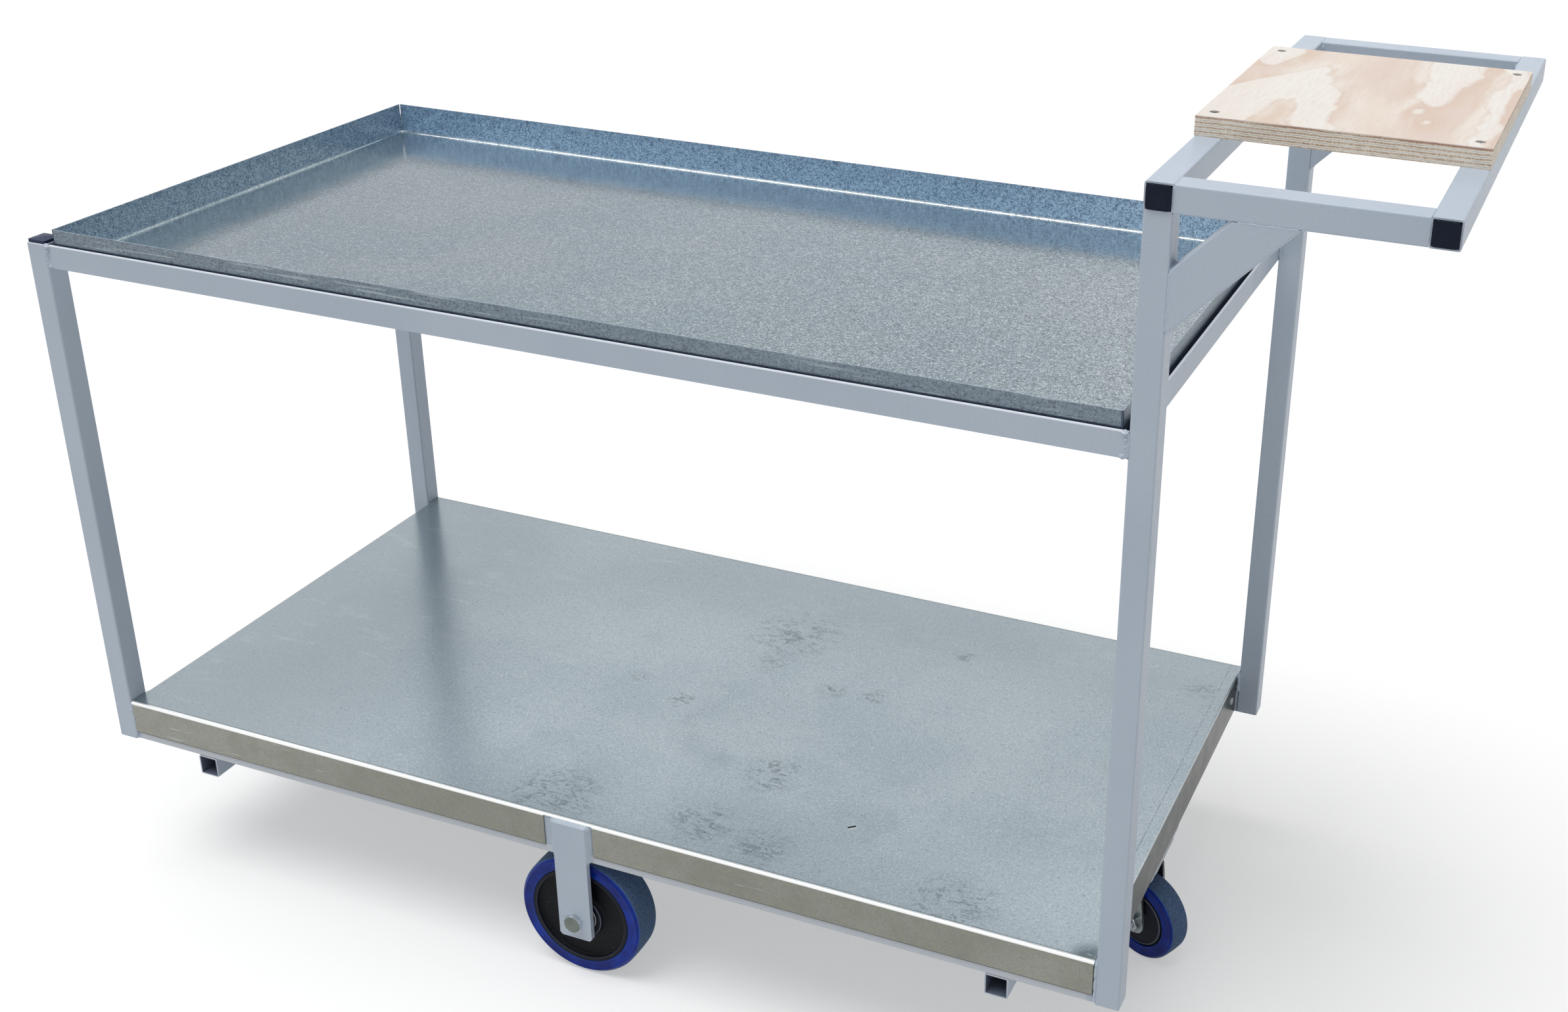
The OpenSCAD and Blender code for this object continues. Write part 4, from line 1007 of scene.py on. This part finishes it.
# Where beads lie, in mm: rows of start, end and radius, for both sides. Where a row has its own list of
# places in x, its x counts from each of them, inwards from the posts
weldPlan = {
    "postX": ((-707, 1), (481, -1)),       # inner face of a post, and the way inwards
    "topFrame": [
        ((0.2, 299, 744), (0.2, 299, 767), 1.5), ((0.3, 298.5, 742.6), (0.3, 278, 742.6), 2),
        ((-1.2, 274.8, 745), (-1.2, 274.8, 766), 1.7), ((1, 296.8, 748), (1, 296.8, 766), 1.3)],
    "base": [
        ((0.3, 298.8, 157), (0.3, 298.8, 204.5), 1.9), ((0.3, 297, 155), (0.3, 276, 155), 1.9)],
    "bearerX": (-617, -592, 366, 391),
    "bearer": [((0, 296.5, 154.8), (0, 275.5, 154.8), 2)],
    "handle": [
        ((506.2, 299.2, 965), (506.2, 299.2, 986), 1.1), ((707, 299.2, 965), (707, 299.2, 986), 1.1),
        ((506.2, 298, 987.4), (506.2, 277, 987.4), 0.9), ((707, 298, 987.4), (707, 277, 987.4), 0.9),
        ((506.6, 275, 965), (506.6, 275, 985), 2.2), ((706.4, 275, 965), (706.4, 275, 985), 2.2),
        ((484, 274.8, 962.8), (503, 274.8, 962.8), 2), ((505.4, 298, 963), (505.4, 277, 963), 1),
        ((481.6, 298, 963), (481.6, 277, 963), 1)],
    "braceX": 506,         # the braces run at 45 degrees from here up to the side tubes
    "braceLow": {-1: 859, 1: 849},
    "braceTop": 963,
    "lumpX": ((-706, 1), (480, -1)),       # thick lumps at the top frame's corners
    "lumps": [
        ((6, 299.8, 766), (-1, 299.8, 768.5), 2.8), ((4, 299.8, 759.5), (-0.5, 299.8, 762), 2.4),
        ((7, 299.5, 745.5), (-0.5, 299.5, 743.8), 2.7), ((3, 299.7, 752.5), (-0.5, 299.7, 755), 1.9)],
    "deckEnd": [
        ((480.6, 273.9, 184), (480.6, 273.9, 208.5), 2.4),
        ((478.5, 272.5, 206.6), (482, 281, 207.2), 2.3)],
}


def braceRows(plan, side):
    # across both edges of each end of a brace, and along its outer side
    x, low, top = plan["braceX"], plan["braceLow"][side], plan["braceTop"]
    high = x + top - low       # where the brace's lower edge reaches the side tube
    return [((x, 298.5, low + 1), (x, 276.5, low + 1), 2),
            ((x, 298.5, low + 56), (x, 276.5, low + 56), 2),
            ((x + 0.2, 299.2, low + 3), (x + 0.2, 299.2, low + 54), 1),
            ((high, 298.5, top), (high, 276.5, top), 2),
            ((high - 56, 298.5, top), (high - 56, 276.5, top), 2),
            ((high - 52, 299.2, top), (high - 2, 299.2, top), 1)]


def addWelds(plan):
    beads = {"weldsTopFrame": [], "weldsBase": [], "weldsHandle": [], "weldsHangers": []}
    count = 0

    def lay(group, rows, x=0, way=1):
        # each bead has another seed, so that no two have the same ripple
        nonlocal count
        for *ends, radius in rows:
            count += 1
            start, end = [(x + way * along, side * across, up) for along, across, up in ends]
            beads[group].append(bead(start, end, radius, count * 1.37))

    for side in (-1, 1):
        for place in plan["postX"]:
            lay("weldsTopFrame", plan["topFrame"], *place)
            lay("weldsBase", plan["base"], *place)
        for x in plan["bearerX"]:
            lay("weldsBase", plan["bearer"], x)
        lay("weldsHandle", plan["handle"] + braceRows(plan, side))
        beads["weldsHangers"].append(hangerFillet(filletSize, side))
        for place in plan["lumpX"]:
            lay("weldsTopFrame", plan["lumps"], *place)
        lay("weldsBase", plan["deckEnd"])
    for group, surfaces in beads.items():
        addPiece(group, surfaces, framePaint, "frame", sharp=weldSize["sharp"])
    print("welds laid:", count)


addCamera(cameraSetup)
addStudio(studio)
print("camera and studio set")

bearers = ("castor_bearer_left", "castor_bearer_right")
framePaint = makeFramePaint("framePaint", framePaintLook)
bearerPaint = makeFramePaint("bearerPaint", framePaintLook, [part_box(name) for name in bearers])
traySheet = makeTraySheet(traySheetLook)
deckSheet = makeDeckSheet(deckSheetLook)
plateZinc = makeZinc("zincPlate", plateZincLook)
forkZinc = makeZinc("forkZinc", forkZincLook)
boltZinc = makeZinc("boltZinc", boltZincLook)
bearingSteel = makeZinc("bearingSteel", bearingZincLook)
capPlastic = makeCapPlastic(capLook)
wheelNylon = makeNylon(nylonLook)
blueRubber = makeRubber(rubberLook)
plywood = makePlywood(plywoodLook)
print("materials made")

# Carried-over CAD nodes and what finishes them; the rest is painted, or plated with zinc
finishes = {"tray": traySheet, "deck": deckSheet, "board": plywood, **dict.fromkeys(bearers, bearerPaint),
            **dict.fromkeys(("fork_left", "fork_right"), forkZinc),
            **dict.fromkeys(("axle_bolts", "deck_rivets"), boltZinc)}
painted = ("post_f", "post_b", "rail", "end_rail", "mid_", "castor_bearer", "packer", "angle",
           "handle_t", "handle_s", "push", "brace", "hanger", "mount")
for name, node in nodes.items():
    for slot in node.material_slots:
        slot.material = finishes.get(name, framePaint if name.startswith(painted) else plateZinc)

for place, side in (("front", -1), ("back", 1)):
    addFixedWheel(place, side, fixedWheel)
for place in ("left", "right"):
    addCastorWheel(place, castorWheel)
print("wheels turned")
addCaps(capSize)
addWelds(weldPlan)
